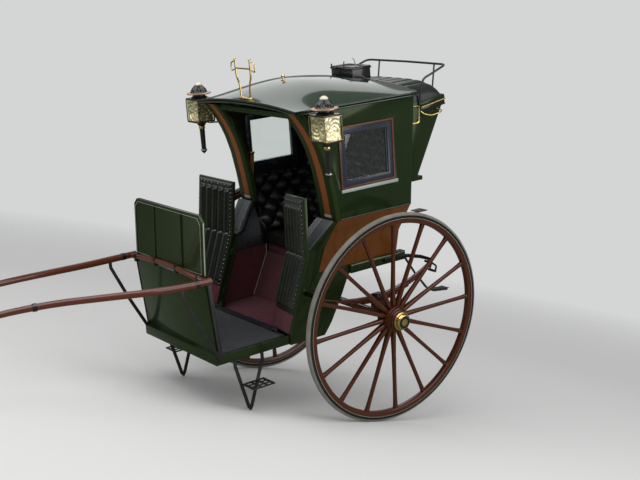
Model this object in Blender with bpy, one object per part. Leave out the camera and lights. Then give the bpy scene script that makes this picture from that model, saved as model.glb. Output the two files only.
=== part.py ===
"""Two-wheeled hansom cab with the driver's seat high at the back.

Metres, +Z up.  The cab faces -Y and its left side is +X.  Every size below is
in the level frame of the body, with the axle line at y = 0.  At the end the
whole cab is pitched nose down about the axle until its prop irons stand on
the ground, which is how it parks without a horse.
"""
import math

import bmesh
import bpy
from mathutils import Matrix, Vector
from mathutils.geometry import tessellate_polygon

SEAT_GAP = 0.0003            # clearance left between two touching pieces
SWING_GAP = 0.006            # clearance kept round a moving piece

# wheels
WHEEL_RADIUS = 0.710
HALF_TRACK = 0.753           # wheel plane at axle height
CAMBER = math.radians(3.7)   # outer hub ends droop
DISH = 0.016                 # spokes lean outward from hub to rim
SPOKES = 16
RIM_SIDES = 64
FELLOE_INNER = 0.641
FELLOE_OUTER = 0.683
FELLOE_HALF = 0.021
TYRE_INNER = FELLOE_OUTER + SEAT_GAP
TYRE_HALF = 0.017
HUB_BARREL = 0.064
HUB_BACK = 0.105             # from the wheel plane to the hub's inner end
AXLE_Z = 0.710

# body shell
HALF_LOWER = 0.474           # outer half width beside the seat
HALF_UPPER = 0.562           # outer half width from the waist to the roof
WAIST_Z = 1.385
TUCK_Z = 1.200               # below the waist the sides draw in down to this height
WALL_TOP_Z = 2.100
PANEL = 0.028                # wall thickness
REAR_TOP_Y = 0.426           # the back leans forward from the roof to the waist
REAR_WAIST_Y = 0.358
RAIL_TOP_Z = 1.050
RAIL_BOTTOM_Z = 0.990
LOWER_REAR_Y = 0.280         # rear corner of the lower panel at rail height
PILLAR_LINE = [(-0.510, WALL_TOP_Z), (-0.476, 2.060), (-0.430, 1.990), (-0.393, 1.920),
               (-0.363, 1.850), (-0.327, 1.730), (-0.298, 1.580), (-0.280, 1.450), (-0.274, WAIST_Z)]
PILLAR_INNER = 0.397         # the front boards reach from here to the outer half width
PILLAR_DEPTH = 0.034
PILLAR_PROUD = 0.006         # the boards stand out from the side panels
HEADER_Y = (-0.485, -0.470)
HEADER_Z = 2.066
PANEL_FRONT = [(-0.254, WAIST_Z), (-0.284, 1.310), (-0.318, TUCK_Z), (-0.375, RAIL_TOP_Z)]
RAIL_Y = (-0.125, 0.345)
RAIL_PROUD = 0.014           # the bearer rail stands out from the lower panel
HANGER_HALF = 0.012
ELBOW_LINE = [(-0.440, 1.205), (-0.398, 1.262), (-0.345, 1.325), (-0.292, WAIST_Z - SEAT_GAP)]

# window in each side
WINDOW_Y = (-0.205, 0.220)
WINDOW_Z = (1.595, 1.973)
SASH_WIDTH = 0.040
GLASS = 0.005

# roof
ROOF_HALF = 0.582
ROOF_Y = (-0.548, 0.438)
ROOF_EDGE = 0.030            # thickness of the rim
ROOF_ARCH = 0.034            # rise of the front edge at the middle
ROOF_CROWN = 0.135           # rise of the dome at the middle
HATCH_Y = (0.270, 0.425)
HATCH_HALF = 0.120

# footwell, threshold and floor
FLOOR_TOP_Z = 0.690
FLOOR_BOTTOM_Z = 0.617
THRESHOLD_Y = -0.632
TOE_FRONT_Y = -1.190
TOE_HALF = 0.460
TOE_TOP_Z = 0.686
MAT = 0.008
WELL_BACK = [(-0.130, RAIL_BOTTOM_Z), (-0.150, 0.954), (-0.218, 0.824), (-0.300, 0.690),
             (-0.359, FLOOR_BOTTOM_Z)]
WELL_INNER_TOP_Y = -0.172
WELL_INNER_LOW_Y = -0.315

# seat and trimming
SEAT_TOP_Z = 1.130
SEAT_FRONT_Y = -0.175
BACKREST = 0.055
SIDE_PAD = 0.030
SIDE_PAD_TOP = 1.545

# doors
HINGE_X = 0.340
HINGE_LOW = (-0.668, 0.700)  # y and z where the hinge line meets the floor
HINGE_LEAN = math.radians(20.0)
DOOR_OPEN = math.radians(165.0)
DOOR_BOARD = 0.022
DOOR_PAD = 0.042
DOOR_FOOT = 0.030            # door bottom above the low end of the hinge line
DOOR_BEND = 0.530            # along the hinge line
DOOR_UPPER = 0.370
DOOR_KICK = 0.125            # carpeted strip under the padding
DOOR_FOLD = math.radians(16.0)
KNUCKLES = ((0.100, 0.150), (0.380, 0.430))  # along the hinge line
KNUCKLE_RADIUS = 0.0066
JAMB_TOP = 0.520             # along the hinge line
JAMB = 0.026

# front: dash, boards, bars
DASH_Y = (-1.165, -1.140)
DASH_Z = (1.195, 1.575)
DASH_LEAN = 0.045            # the boards lean out this far where they meet
DASH_TOP_LEAN = 0.020
DASH_HALF = 0.435
DASH_CHAMFER = 0.036
BOARD_Z = (0.700 + SEAT_GAP, 1.165)
CROSS_BAR = 0.016            # half of its square section
CROSS_BAR_Z = 1.208
SHAFT_HALF_THICK = 0.022
SHAFT_LINE = [(0.488, -1.190, 1.182), (0.480, -1.350, 1.184), (0.452, -1.560, 1.192),
              (0.395, -1.850, 1.214), (0.338, -2.150, 1.234), (0.300, -2.450, 1.236),
              (0.290, -2.700, 1.214), (0.296, -2.860, 1.188)]
SHAFT_SCALE = [1.0, 1.05, 1.05, 1.0, 0.95, 0.88, 0.78, 0.66]

# springs and axle
SPRING_X = 0.600
SPRING_HALF = 0.024
SPRING_EYES = ((-0.480, 0.885), (0.455, 0.920))
SPRING_LOW_Z = 0.800
SPRING_LEAVES = (0.470, 0.360, 0.250, 0.150)  # half lengths, longest on top
LEAF = 0.009

# props, steps
PROP_X = TOE_HALF - 0.030
PROP_FOOT = (-0.954, 0.250)
PROP_TOPS = (-1.040, -0.835)

# driver's seat
BOOT_HALF = 0.420
BOOT_PROFILE_Z = (1.514, 1.985, 2.030)
BOOT_PROFILE_Y = (0.543, 0.795, 0.802)
CUSHION_Y = (ROOF_Y[1] + 0.007, 0.800)
CUSHION_TOP_Z = 2.150
SHELF = 0.022                # footboard under the seat box
SHELF_REAR_Y = 0.592

# lamps
LAMP_CENTRE = (0.745, -0.440)
LAMP_HALF = (0.079, 0.066)
LAMP_Z = (1.946, 2.118)
LAMP_ARM_Y = -0.392          # where the arm stands on the pillar


def clear_scene():
    for item in list(bpy.data.objects):
        bpy.data.objects.remove(item, do_unlink=True)
    for block in (bpy.data.meshes, bpy.data.materials, bpy.data.curves):
        for item in list(block):
            block.remove(item)


PAINTS = {
    "green_gloss": ((0.006, 0.030, 0.014), 0.10, 0.0),
    "brown_lined": ((0.185, 0.052, 0.012), 0.22, 0.0),
    "maroon_gloss": ((0.085, 0.010, 0.008), 0.20, 0.0),
    "black_iron": ((0.010, 0.010, 0.011), 0.35, 0.0),
    "black_leather": ((0.010, 0.010, 0.012), 0.38, 0.0),
    "mauve_carpet": ((0.085, 0.022, 0.030), 0.95, 0.0),
    "grey_mat": ((0.060, 0.062, 0.066), 0.75, 0.0),
    "grey_rubber": ((0.110, 0.110, 0.108), 0.80, 0.0),
    "navy_sash": ((0.008, 0.012, 0.040), 0.30, 0.0),
    "brass": ((0.80, 0.56, 0.20), 0.22, 1.0),
    "clear_glass": ((0.55, 0.62, 0.60), 0.05, 0.0),
}


def paint(name):
    material = bpy.data.materials.get(name)
    if material is None:
        colour, rough, metal = PAINTS[name]
        material = bpy.data.materials.new(name)
        material.use_nodes = True
        shader = material.node_tree.nodes["Principled BSDF"]
        shader.inputs["Base Color"].default_value = (*colour, 1.0)
        shader.inputs["Roughness"].default_value = rough
        shader.inputs["Metallic"].default_value = metal
        material.diffuse_color = (*colour, 1.0)
    return material


class Solid:
    """Collects closed shells for one named object."""

    def __init__(self):
        self.bm = bmesh.new()

    def add(self, verts, faces):
        made = [self.bm.verts.new(v) for v in verts]
        for face in faces:
            self.bm.faces.new([made[i] for i in face])
        return self

    def box(self, x, y, z):
        xs, ys, zs = sorted(x), sorted(y), sorted(z)
        verts = [(a, b, c) for c in zs for b in ys for a in xs]
        faces = [(0, 2, 3, 1), (4, 5, 7, 6), (0, 1, 5, 4), (2, 6, 7, 3), (0, 4, 6, 2), (1, 3, 7, 5)]
        return self.add(verts, faces)

    def prism(self, outline, near, far, holes=(), knees=()):
        """Plate with a (y, z) outline between two x surfaces given as functions of z.

        The surfaces may bend at the heights in knees.
        """
        loops = [list(outline)] + [list(h) for h in holes]
        corners = [p for loop in loops for p in loop]
        sheet = bmesh.new()
        points = [sheet.verts.new((0.0, y, z)) for y, z in corners]
        for three in tessellate_polygon([[Vector((y, z, 0.0)) for y, z in loop] for loop in loops]):
            sheet.faces.new([points[i] for i in three])
        for knee in knees:
            whole = list(sheet.verts) + list(sheet.edges) + list(sheet.faces)
            bmesh.ops.bisect_plane(sheet, geom=whole, dist=1e-6, plane_co=(0.0, 0.0, knee),
                                   plane_no=(0.0, 0.0, 1.0))
        sheet.verts.index_update()
        flat = [(v.co.y, v.co.z) for v in sheet.verts]
        count = len(flat)
        verts = [(near(z), y, z) for y, z in flat] + [(far(z), y, z) for y, z in flat]
        faces = []
        for face in sheet.faces:
            ring = [v.index for v in face.verts]
            faces.append(tuple(ring))
            faces.append(tuple(i + count for i in reversed(ring)))
        for rim in sheet.edges:
            if len(rim.link_faces) == 1:
                a, b = (v.index for v in rim.verts)
                faces.append((a, b, b + count, a + count))
        sheet.free()
        return self.add(verts, faces)

    def sweep(self, line, section, up=(0.0, 0.0, 1.0), scale=None, side=None):
        """Bar along a line; the section is (sideways, upward) offsets."""
        points = [Vector(p) for p in line]
        scale = scale or [1.0] * len(points)
        rings = []
        for i, point in enumerate(points):
            if i == 0:
                way = points[1] - point
            elif i == len(points) - 1:
                way = point - points[i - 1]
            else:
                way = (points[i + 1] - point).normalized() + (point - points[i - 1]).normalized()
            way.normalize()
            across = Vector(side) if side else way.cross(Vector(up)).normalized()
            rise = across.cross(way).normalized()
            ring = [point + across * (a * scale[i]) + rise * (b * scale[i]) for a, b in section]
            rings.append(ring)
        verts = [v for ring in rings for v in ring]
        n = len(section)
        faces = []
        for i in range(len(rings) - 1):
            for j in range(n):
                k = (j + 1) % n
                faces.append((i * n + j, i * n + k, (i + 1) * n + k, (i + 1) * n + j))
        faces.append(tuple(range(n)))
        last = (len(rings) - 1) * n
        faces.append(tuple(last + j for j in reversed(range(n))))
        return self.add(verts, faces)

    def lathe(self, profile, sides, turn=0.5, matrix=None):
        """Ring or solid of revolution about X from a closed (x, radius) profile."""
        verts = []
        index = []
        for x, radius in profile:
            if radius < 1e-6:
                index.append([len(verts)] * sides)
                verts.append(Vector((x, 0.0, 0.0)))
                continue
            index.append(list(range(len(verts), len(verts) + sides)))
            for i in range(sides):
                angle = 2.0 * math.pi * (i + turn) / sides
                verts.append(Vector((x, radius * math.cos(angle), radius * math.sin(angle))))
        faces = []
        rows = len(profile)
        for i in range(rows):
            a, b = index[i], index[(i + 1) % rows]
            if len(set(a)) == 1 and len(set(b)) == 1:
                continue
            for j in range(sides):
                k = (j + 1) % sides
                ring = [a[j], a[k], b[k], b[j]]
                face = []
                for v in ring:
                    if v not in face:
                        face.append(v)
                faces.append(tuple(face))
        if matrix is not None:
            verts = [matrix @ v for v in verts]
        return self.add(verts, faces)

    def grid(self, xs, ys, top, bottom, hole=None):
        """Sheet over a grid with a top and a bottom surface, and an optional cell hole."""
        def is_open(i, j):
            if i < 0 or j < 0 or i >= len(xs) - 1 or j >= len(ys) - 1:
                return True
            return hole is not None and hole(0.5 * (xs[i] + xs[i + 1]), 0.5 * (ys[j] + ys[j + 1]))

        used = {}
        verts = []

        def corner(i, j, level):
            key = (i, j, level)
            if key not in used:
                used[key] = len(verts)
                surface = top if level else bottom
                verts.append((xs[i], ys[j], surface(xs[i], ys[j])))
            return used[key]

        faces = []
        for i in range(len(xs) - 1):
            for j in range(len(ys) - 1):
                if is_open(i, j):
                    continue
                ring = [(i, j), (i + 1, j), (i + 1, j + 1), (i, j + 1)]
                faces.append(tuple(corner(a, b, 1) for a, b in ring))
                faces.append(tuple(corner(a, b, 0) for a, b in reversed(ring)))
                beside = [((i, j), (i + 1, j), (i, j - 1)), ((i + 1, j), (i + 1, j + 1), (i + 1, j)),
                          ((i + 1, j + 1), (i, j + 1), (i, j + 1)), ((i, j + 1), (i, j), (i - 1, j))]
                for a, b, cell in beside:
                    if is_open(*cell):
                        faces.append((corner(*a, 0), corner(*b, 0), corner(*b, 1), corner(*a, 1)))
        return self.add(verts, faces)

    def moved(self, matrix):
        bmesh.ops.transform(self.bm, matrix=matrix, verts=self.bm.verts)
        return self

    def mirrored(self, side):
        if side < 0:
            self.moved(Matrix.Scale(-1.0, 4, Vector((1.0, 0.0, 0.0))))
        return self

    def bevelled(self, width, angle=30.0, segments=1):
        limit = math.radians(angle)
        edges = [e for e in self.bm.edges if len(e.link_faces) == 2 and e.calc_face_angle(0.0) > limit]
        bmesh.ops.bevel(self.bm, geom=edges, offset=width, segments=segments, affect="EDGES",
                        profile=0.6, clamp_overlap=True)
        return self

    def to_mesh(self, name):
        bmesh.ops.recalc_face_normals(self.bm, faces=self.bm.faces)
        mesh = bpy.data.meshes.new(name)
        self.bm.to_mesh(mesh)
        self.bm.free()
        return mesh

    def finish(self, name, material, parent, smooth=35.0, joined=()):
        mesh = self.to_mesh(name) if not joined else union(name, [self, *joined])
        mesh.materials.append(paint(material))
        mesh.shade_smooth()
        mesh.set_sharp_from_angle(angle=math.radians(smooth))
        item = bpy.data.objects.new(name, mesh)
        bpy.context.collection.objects.link(item)
        item.parent = parent
        return item


def union(name, solids):
    """One mesh from overlapping solids."""
    items = []
    for i, solid in enumerate(solids):
        item = bpy.data.objects.new("%s_piece_%d" % (name, i), solid.to_mesh("%s_piece_%d" % (name, i)))
        bpy.context.collection.objects.link(item)
        items.append(item)
    for other in items[1:]:
        modifier = items[0].modifiers.new("join", "BOOLEAN")
        modifier.operation = "UNION"
        modifier.solver = "EXACT"
        modifier.object = other
    bpy.context.view_layer.update()
    made = items[0].evaluated_get(bpy.context.evaluated_depsgraph_get())
    mesh = bpy.data.meshes.new_from_object(made)
    mesh.name = name
    for item in items:
        piece = item.data
        bpy.data.objects.remove(item, do_unlink=True)
        bpy.data.meshes.remove(piece)
    return mesh


def rounded(half_a, half_b, cut):
    """Rectangle section with cut corners."""
    a, b, c = half_a, half_b, cut
    return [(-a + c, -b), (a - c, -b), (a, -b + c), (a, b - c),
            (a - c, b), (-a + c, b), (-a, b - c), (-a, -b + c)]


def circle(radius, sides=8):
    turns = [2.0 * math.pi * (i + 0.5) / sides for i in range(sides)]
    return [(radius * math.cos(a), radius * math.sin(a)) for a in turns]


KNEES = (TUCK_Z, WAIST_Z)


def between(z, low, high):
    """Value at a height that changes from low to high between the tuck and the waist."""
    share = min(1.0, max(0.0, (z - TUCK_Z) / (WAIST_Z - TUCK_Z)))
    return low + (high - low) * share


def half_at(z):
    """Outer half width of the body at a height."""
    return between(z, HALF_LOWER, HALF_UPPER)


def wing_inner(z):
    """Inner edge of the front boards at a height."""
    return between(z, HINGE_X + SWING_GAP, PILLAR_INNER)


def rear_at(z):
    """Outer face of the back at a height from the waist up."""
    return REAR_WAIST_Y + (REAR_TOP_Y - REAR_WAIST_Y) * (z - WAIST_Z) / (WALL_TOP_Z - WAIST_Z)


def set_back(line, depth):
    """The (y, z) line moved back by a depth."""
    return [(y + depth, z) for y, z in line]


def hinge_point(along, forward=0.0, x=HINGE_X):
    """Point a distance up the hinge line, and square off it towards the horse."""
    y = HINGE_LOW[0] + along * math.sin(HINGE_LEAN) - forward * math.cos(HINGE_LEAN)
    z = HINGE_LOW[1] + along * math.cos(HINGE_LEAN) + forward * math.sin(HINGE_LEAN)
    return (x, y, z)


def hinge_place(side):
    """Frame of a door's hinge line, its Z up the line and its Y into the cab."""
    lean = Matrix.Rotation(-HINGE_LEAN, 4, "X")
    return Matrix.Translation((side * HINGE_X, HINGE_LOW[0], HINGE_LOW[1])) @ lean


UPRIGHT = Matrix.Rotation(math.radians(-90.0), 4, "Y")


def empty(name, matrix, parent=None):
    item = bpy.data.objects.new(name, None)
    bpy.context.collection.objects.link(item)
    item.parent = parent
    item.matrix_local = matrix
    return item


def ring_outline(y_range, z_range, inset):
    return [(y_range[0] + inset, z_range[0] + inset), (y_range[0] + inset, z_range[1] - inset),
            (y_range[1] - inset, z_range[1] - inset), (y_range[1] - inset, z_range[0] + inset)]


def build_body(root):
    g = SEAT_GAP
    skin_line = set_back(PILLAR_LINE, PILLAR_DEPTH + 0.0005)
    outline = skin_line + [(REAR_WAIST_Y, WAIST_Z), (REAR_TOP_Y, WALL_TOP_Z)]
    hole = ring_outline(WINDOW_Y, WINDOW_Z, 0.0)
    top = WAIST_Z - g
    edge = [(PANEL_FRONT[0][0], top)] + PANEL_FRONT[1:]
    lower = edge[:-1] + [(edge[-1][0], RAIL_TOP_Z + g), (LOWER_REAR_Y, RAIL_TOP_Z + g),
                         (REAR_WAIST_Y - 0.001, top)]
    rail_side = HALF_LOWER + RAIL_PROUD
    hanger_x = rail_side + HANGER_HALF
    spring_top = SPRING_EYES[1][1] + LEAF * 4.0 + g
    hanger_line = [(hanger_x - 0.004, 0.150, RAIL_BOTTOM_Z + 0.030),
                   (hanger_x - 0.004, 0.300, RAIL_BOTTOM_Z + 0.030),
                   (hanger_x + 0.014, 0.350, RAIL_BOTTOM_Z + 0.026),
                   (SPRING_X - 0.040, 0.420, RAIL_BOTTOM_Z + 0.012),
                   (SPRING_X, 0.462, RAIL_BOTTOM_Z - 0.006), (SPRING_X, 0.462, spring_top)]
    wall = set_back(edge[:-1], -g) + [(edge[-1][0] - g, RAIL_TOP_Z), (RAIL_Y[0] - 2.0 * g, RAIL_TOP_Z),
                                      (RAIL_Y[0] - 2.0 * g, RAIL_BOTTOM_Z)]
    foot = hinge_point(JAMB_TOP, -0.012 - JAMB)
    wall += WELL_BACK[1:]
    wall += [(THRESHOLD_Y, FLOOR_BOTTOM_Z), (THRESHOLD_Y, FLOOR_TOP_Z), (foot[1], foot[2]), *ELBOW_LINE]
    posts = [hinge_point(0.004, -0.012), hinge_point(JAMB_TOP, -0.012)]
    crest = [(y + 0.001, z - 0.001) for y, z in ELBOW_LINE]
    board = [(y, z) for _, y, z in posts] + crest
    board += [(y + 0.030, z - 0.004) for y, z in crest[::-1]]
    board += [(foot[1], foot[2]), hinge_point(0.004, -0.012 - JAMB)[1:]]
    lift = 0.0006
    cap_rows = [(y, z + lift) for y, z in ELBOW_LINE[::-1]] + [(posts[1][1] + 0.004, posts[1][2] + 0.008)]
    front_eye_z = SPRING_EYES[0][1] + LEAF * 4.0 + g
    for name, side in (("left", 1), ("right", -1)):
        shell = Solid().prism(outline, half_at, lambda z: half_at(z) - PANEL, holes=[hole])
        shell.mirrored(side).finish("body_side_" + name, "green_gloss", root)

        sight = ring_outline(WINDOW_Y, WINDOW_Z, SASH_WIDTH)
        sash = Solid().prism(ring_outline(WINDOW_Y, WINDOW_Z, g), lambda z: half_at(z) + 0.004,
                             lambda z: half_at(z) - PANEL, holes=[sight])
        sash.mirrored(side).finish("window_frame_" + name, "navy_sash", root)
        pane = Solid().prism(ring_outline(WINDOW_Y, WINDOW_Z, SASH_WIDTH + g), lambda z: half_at(z) - 0.010,
                             lambda z: half_at(z) - 0.010 - GLASS)
        pane.mirrored(side).finish("window_glass_" + name, "clear_glass", root)

        panel = Solid().prism(lower, lambda z: half_at(z) - 0.002, lambda z: half_at(z) - PANEL, knees=KNEES)
        panel.mirrored(side).finish("lower_panel_" + name, "brown_lined", root)

        rail = Solid().box((HALF_LOWER - 0.040, rail_side), RAIL_Y, (RAIL_BOTTOM_Z, RAIL_TOP_Z))
        rail.bevelled(0.006).mirrored(side)
        iron = Solid().sweep(hanger_line, rounded(HANGER_HALF, HANGER_HALF, 0.003), up=(0.0, 0.3, 1.0))
        rail.finish("bearer_rail_" + name, "green_gloss", root, joined=[iron.mirrored(side)])

        cheek = Solid().prism(wall, lambda z: half_at(z) - 0.004, lambda z: half_at(z) - PANEL, knees=KNEES)
        wing = Solid().prism(board, lambda z: half_at(z) - 0.012, wing_inner, knees=KNEES)
        bracket = Solid().box((HALF_LOWER - 0.020, SPRING_X + 0.030), (-0.500, -0.472),
                              (front_eye_z, front_eye_z + 0.030))
        joined = [wing.mirrored(side), bracket.mirrored(side)]
        for low, high in KNUCKLES:
            barrel = [(low, 0.0), (low, KNUCKLE_RADIUS), (high, KNUCKLE_RADIUS), (high, 0.0)]
            joined.append(Solid().lathe(barrel, 10, matrix=hinge_place(1) @ UPRIGHT).mirrored(side))
            leaf = Solid().box((0.001, 0.034), (-0.0005, 0.0135), (low + 0.004, high - 0.004))
            joined.append(leaf.moved(hinge_place(1)).mirrored(side))
        cheek.mirrored(side).finish("footwell_side_" + name, "green_gloss", root, joined=joined)

        verts = []
        for y, z in cap_rows:
            inner, outer = wing_inner(z) - 0.003, half_at(z) - 0.003
            verts += [(inner, y, z), (outer, y, z)]
            verts += [(outer, y - 0.010, z + 0.010), (inner, y - 0.010, z + 0.010)]
        last = 4 * (len(cap_rows) - 1)
        faces = [(0, 1, 2, 3), (last + 3, last + 2, last + 1, last)]
        for i in range(len(cap_rows) - 1):
            for j in range(4):
                k = (j + 1) % 4
                faces.append((i * 4 + j, i * 4 + k, i * 4 + 4 + k, i * 4 + 4 + j))
        cap = Solid().add(verts, faces).bevelled(0.003)
        cap.mirrored(side).finish("elbow_cap_" + name, "black_leather", root)

    pillars = []
    for side in (1, -1):
        ring = PILLAR_LINE + set_back(PILLAR_LINE, PILLAR_DEPTH)[::-1]
        pillars.append(Solid().prism(ring, lambda z: HALF_UPPER + PILLAR_PROUD,
                                     lambda z: PILLAR_INNER).mirrored(side))
    reach = PILLAR_INNER + 0.020
    header = Solid().box((-reach, reach), HEADER_Y, (HEADER_Z, WALL_TOP_Z - 0.001))
    header.finish("front_frame", "green_gloss", root, joined=pillars)

    back = [(REAR_TOP_Y, WALL_TOP_Z), (REAR_WAIST_Y, WAIST_Z), (LOWER_REAR_Y, RAIL_TOP_Z),
            (LOWER_REAR_Y, RAIL_BOTTOM_Z)]
    back += set_back(back, -PANEL)[::-1]

    def back_half(z):
        if z < RAIL_TOP_Z + 0.001:
            return HALF_LOWER - 0.040 - g
        return half_at(z) - PANEL - g

    panel = Solid().prism(back, back_half, lambda z: -back_half(z), knees=(RAIL_TOP_Z, *KNEES))
    panel.finish("back_panel", "green_gloss", root)
    build_roof(root)


def roof_top(x, y):
    across = 1.0 - min(1.0, abs(x) / ROOF_HALF) ** 2.2
    run = (y - ROOF_Y[0]) / (ROOF_Y[1] - ROOF_Y[0])
    front = 1.0 - max(0.0, 1.0 - run / 0.50) ** 2.2
    rear = 1.0 - 0.75 * max(0.0, (run - 0.35) / 0.65) ** 2.0
    dome = (ROOF_CROWN - ROOF_ARCH) * front * rear
    return WALL_TOP_Z + SEAT_GAP + ROOF_EDGE + across * (ROOF_ARCH + dome)


def roof_under(x, y):
    flat = WALL_TOP_Z + SEAT_GAP
    edge_x = (ROOF_HALF - abs(x)) / 0.060
    edge_y = min(y - ROOF_Y[0], ROOF_Y[1] - y) / 0.070
    if min(edge_x, edge_y) <= 1.001:
        return flat
    return max(flat, roof_top(x, y) - 0.028)


def back_inner(z):
    """Inner face of the back wall at a height."""
    if z >= WAIST_Z:
        return rear_at(z) - PANEL
    share = max(0.0, (z - RAIL_TOP_Z) / (WAIST_Z - RAIL_TOP_Z))
    return LOWER_REAR_Y + (REAR_WAIST_Y - LOWER_REAR_Y) * share - PANEL


def roof_height(x, y, reach=0.0):
    """Highest point of the finished roof's facets within a small reach of a place."""
    bpy.context.view_layer.update()
    roof = bpy.data.objects["roof"]
    best = -1.0
    for dx in (-reach, 0.0, reach):
        for dy in (-reach, 0.0, reach):
            hit, place, _, _ = roof.ray_cast(Vector((x + dx, y + dy, 5.0)), Vector((0.0, 0.0, -1.0)))
            if hit:
                best = max(best, place.z)
    return best


def build_roof(root):
    xs = [-ROOF_HALF, -0.522, -0.44, -0.34, -0.22, -HATCH_HALF + 0.02, 0.0]
    xs += [-x for x in reversed(xs[:-1])]
    ys = [ROOF_Y[0], ROOF_Y[0] + 0.030, ROOF_Y[0] + 0.070, -0.42, -0.34, -0.24, -0.12, 0.02]
    ys += [0.150, HATCH_Y[0] + 0.02, HATCH_Y[1] - 0.035, ROOF_Y[1]]

    def hole(x, y):
        return abs(x) < HATCH_HALF - 0.021 and HATCH_Y[0] + 0.019 < y < HATCH_Y[1] - 0.034

    Solid().grid(xs, ys, roof_top, roof_under, hole).finish("roof", "green_gloss", root, smooth=32.0)

    wall = 0.018
    top = 2.268
    coaming = Solid()
    xs = [-HATCH_HALF, -HATCH_HALF + wall, 0.0, HATCH_HALF - wall, HATCH_HALF]
    ys = [HATCH_Y[0], HATCH_Y[0] + wall, HATCH_Y[1] - 0.036, HATCH_Y[1]]

    def ring(x, y):
        return abs(x) < HATCH_HALF - wall - 0.001 and HATCH_Y[0] + wall + 0.001 < y < HATCH_Y[1] - 0.037

    coaming.grid(xs, ys, lambda x, y: top, lambda x, y: roof_height(x, y, 0.002) + 0.0008, ring)
    coaming.finish("hatch_coaming", "black_iron", root)
    hinge = empty("joint_roof_hatch", Matrix.Translation((0.0, HATCH_Y[0] - 0.008, top + SEAT_GAP)), root)
    lid = Solid().box((-HATCH_HALF - 0.006, HATCH_HALF + 0.006), (0.002, HATCH_Y[1] - HATCH_Y[0] + 0.014),
                      (0.0, 0.013)).bevelled(0.003)
    lid.finish("roof_hatch", "black_iron", hinge)


def build_interior(root):
    g = SEAT_GAP
    half = HALF_LOWER - PANEL - g
    cushion = Solid().box((-half + 0.002, half - 0.002), (SEAT_FRONT_Y, LOWER_REAR_Y - PANEL - 0.030),
                          (RAIL_TOP_Z + g, SEAT_TOP_Z))
    cushion.bevelled(0.020, segments=2)
    cushion.finish("seat_cushion", "black_leather", root, smooth=60.0)
    riser_half = HALF_LOWER - 0.040 - g
    riser = Solid().box((-riser_half, riser_half), (WELL_INNER_TOP_Y + 0.010, LOWER_REAR_Y - PANEL - g),
                        (RAIL_BOTTOM_Z, RAIL_TOP_Z))
    riser.finish("seat_box", "mauve_carpet", root)

    foot_z = SEAT_TOP_Z + 0.045
    crown_z = 1.860
    rest = [(back_inner(foot_z) - 2.0 * g, foot_z), (back_inner(WAIST_Z) - 2.0 * g, WAIST_Z),
            (back_inner(crown_z) - 2.0 * g, crown_z), (back_inner(crown_z) - 0.036, crown_z + 0.012),
            (back_inner(1.300) - BACKREST - 0.010, 1.300), (back_inner(foot_z) - BACKREST, foot_z)]
    pad = Solid().prism(rest, lambda z: half_at(z) - PANEL - 0.001, lambda z: PANEL + 0.001 - half_at(z),
                        knees=KNEES)
    outline = [(-0.170, SEAT_TOP_Z + 0.012), (-0.205, WAIST_Z - 0.004), (-0.200, SIDE_PAD_TOP)]
    outline += [(back_inner(z) - 0.014, z) for z in (SIDE_PAD_TOP, WAIST_Z, SEAT_TOP_Z + 0.050)]
    sides = []
    for side in (1, -1):
        sides.append(Solid().prism(outline, lambda z: half_at(z) - PANEL - g,
                                   lambda z: half_at(z) - PANEL - g - SIDE_PAD, knees=KNEES).mirrored(side))
    pad.finish("backrest", "black_leather", root, smooth=60.0, joined=sides)


def build_footwell(root):
    g = SEAT_GAP
    half = HALF_LOWER - PANEL - g
    well = list(WELL_BACK) + [(THRESHOLD_Y, FLOOR_BOTTOM_Z), (THRESHOLD_Y, FLOOR_TOP_Z),
                              (WELL_INNER_LOW_Y, FLOOR_TOP_Z), (WELL_INNER_TOP_Y, RAIL_BOTTOM_Z)]
    well[0] = (WELL_BACK[0][0], RAIL_BOTTOM_Z - g)
    well[-1] = (WELL_INNER_TOP_Y, RAIL_BOTTOM_Z - g)
    Solid().prism(well, lambda z: half, lambda z: -half).finish("footwell_floor", "mauve_carpet", root)

    toe = Solid().box((-TOE_HALF, TOE_HALF), (TOE_FRONT_Y, THRESHOLD_Y - g),
                      (FLOOR_BOTTOM_Z + 0.006, TOE_TOP_Z))
    toe.bevelled(0.004)
    toe.finish("toe_board", "green_gloss", root)
    mat = Solid().box((-TOE_HALF + 0.012, TOE_HALF - 0.012), (DASH_Y[1] + 0.004, THRESHOLD_Y - 0.034),
                      (TOE_TOP_Z + g, TOE_TOP_Z + g + MAT))
    mat.finish("floor_mat", "grey_mat", root)


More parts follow.
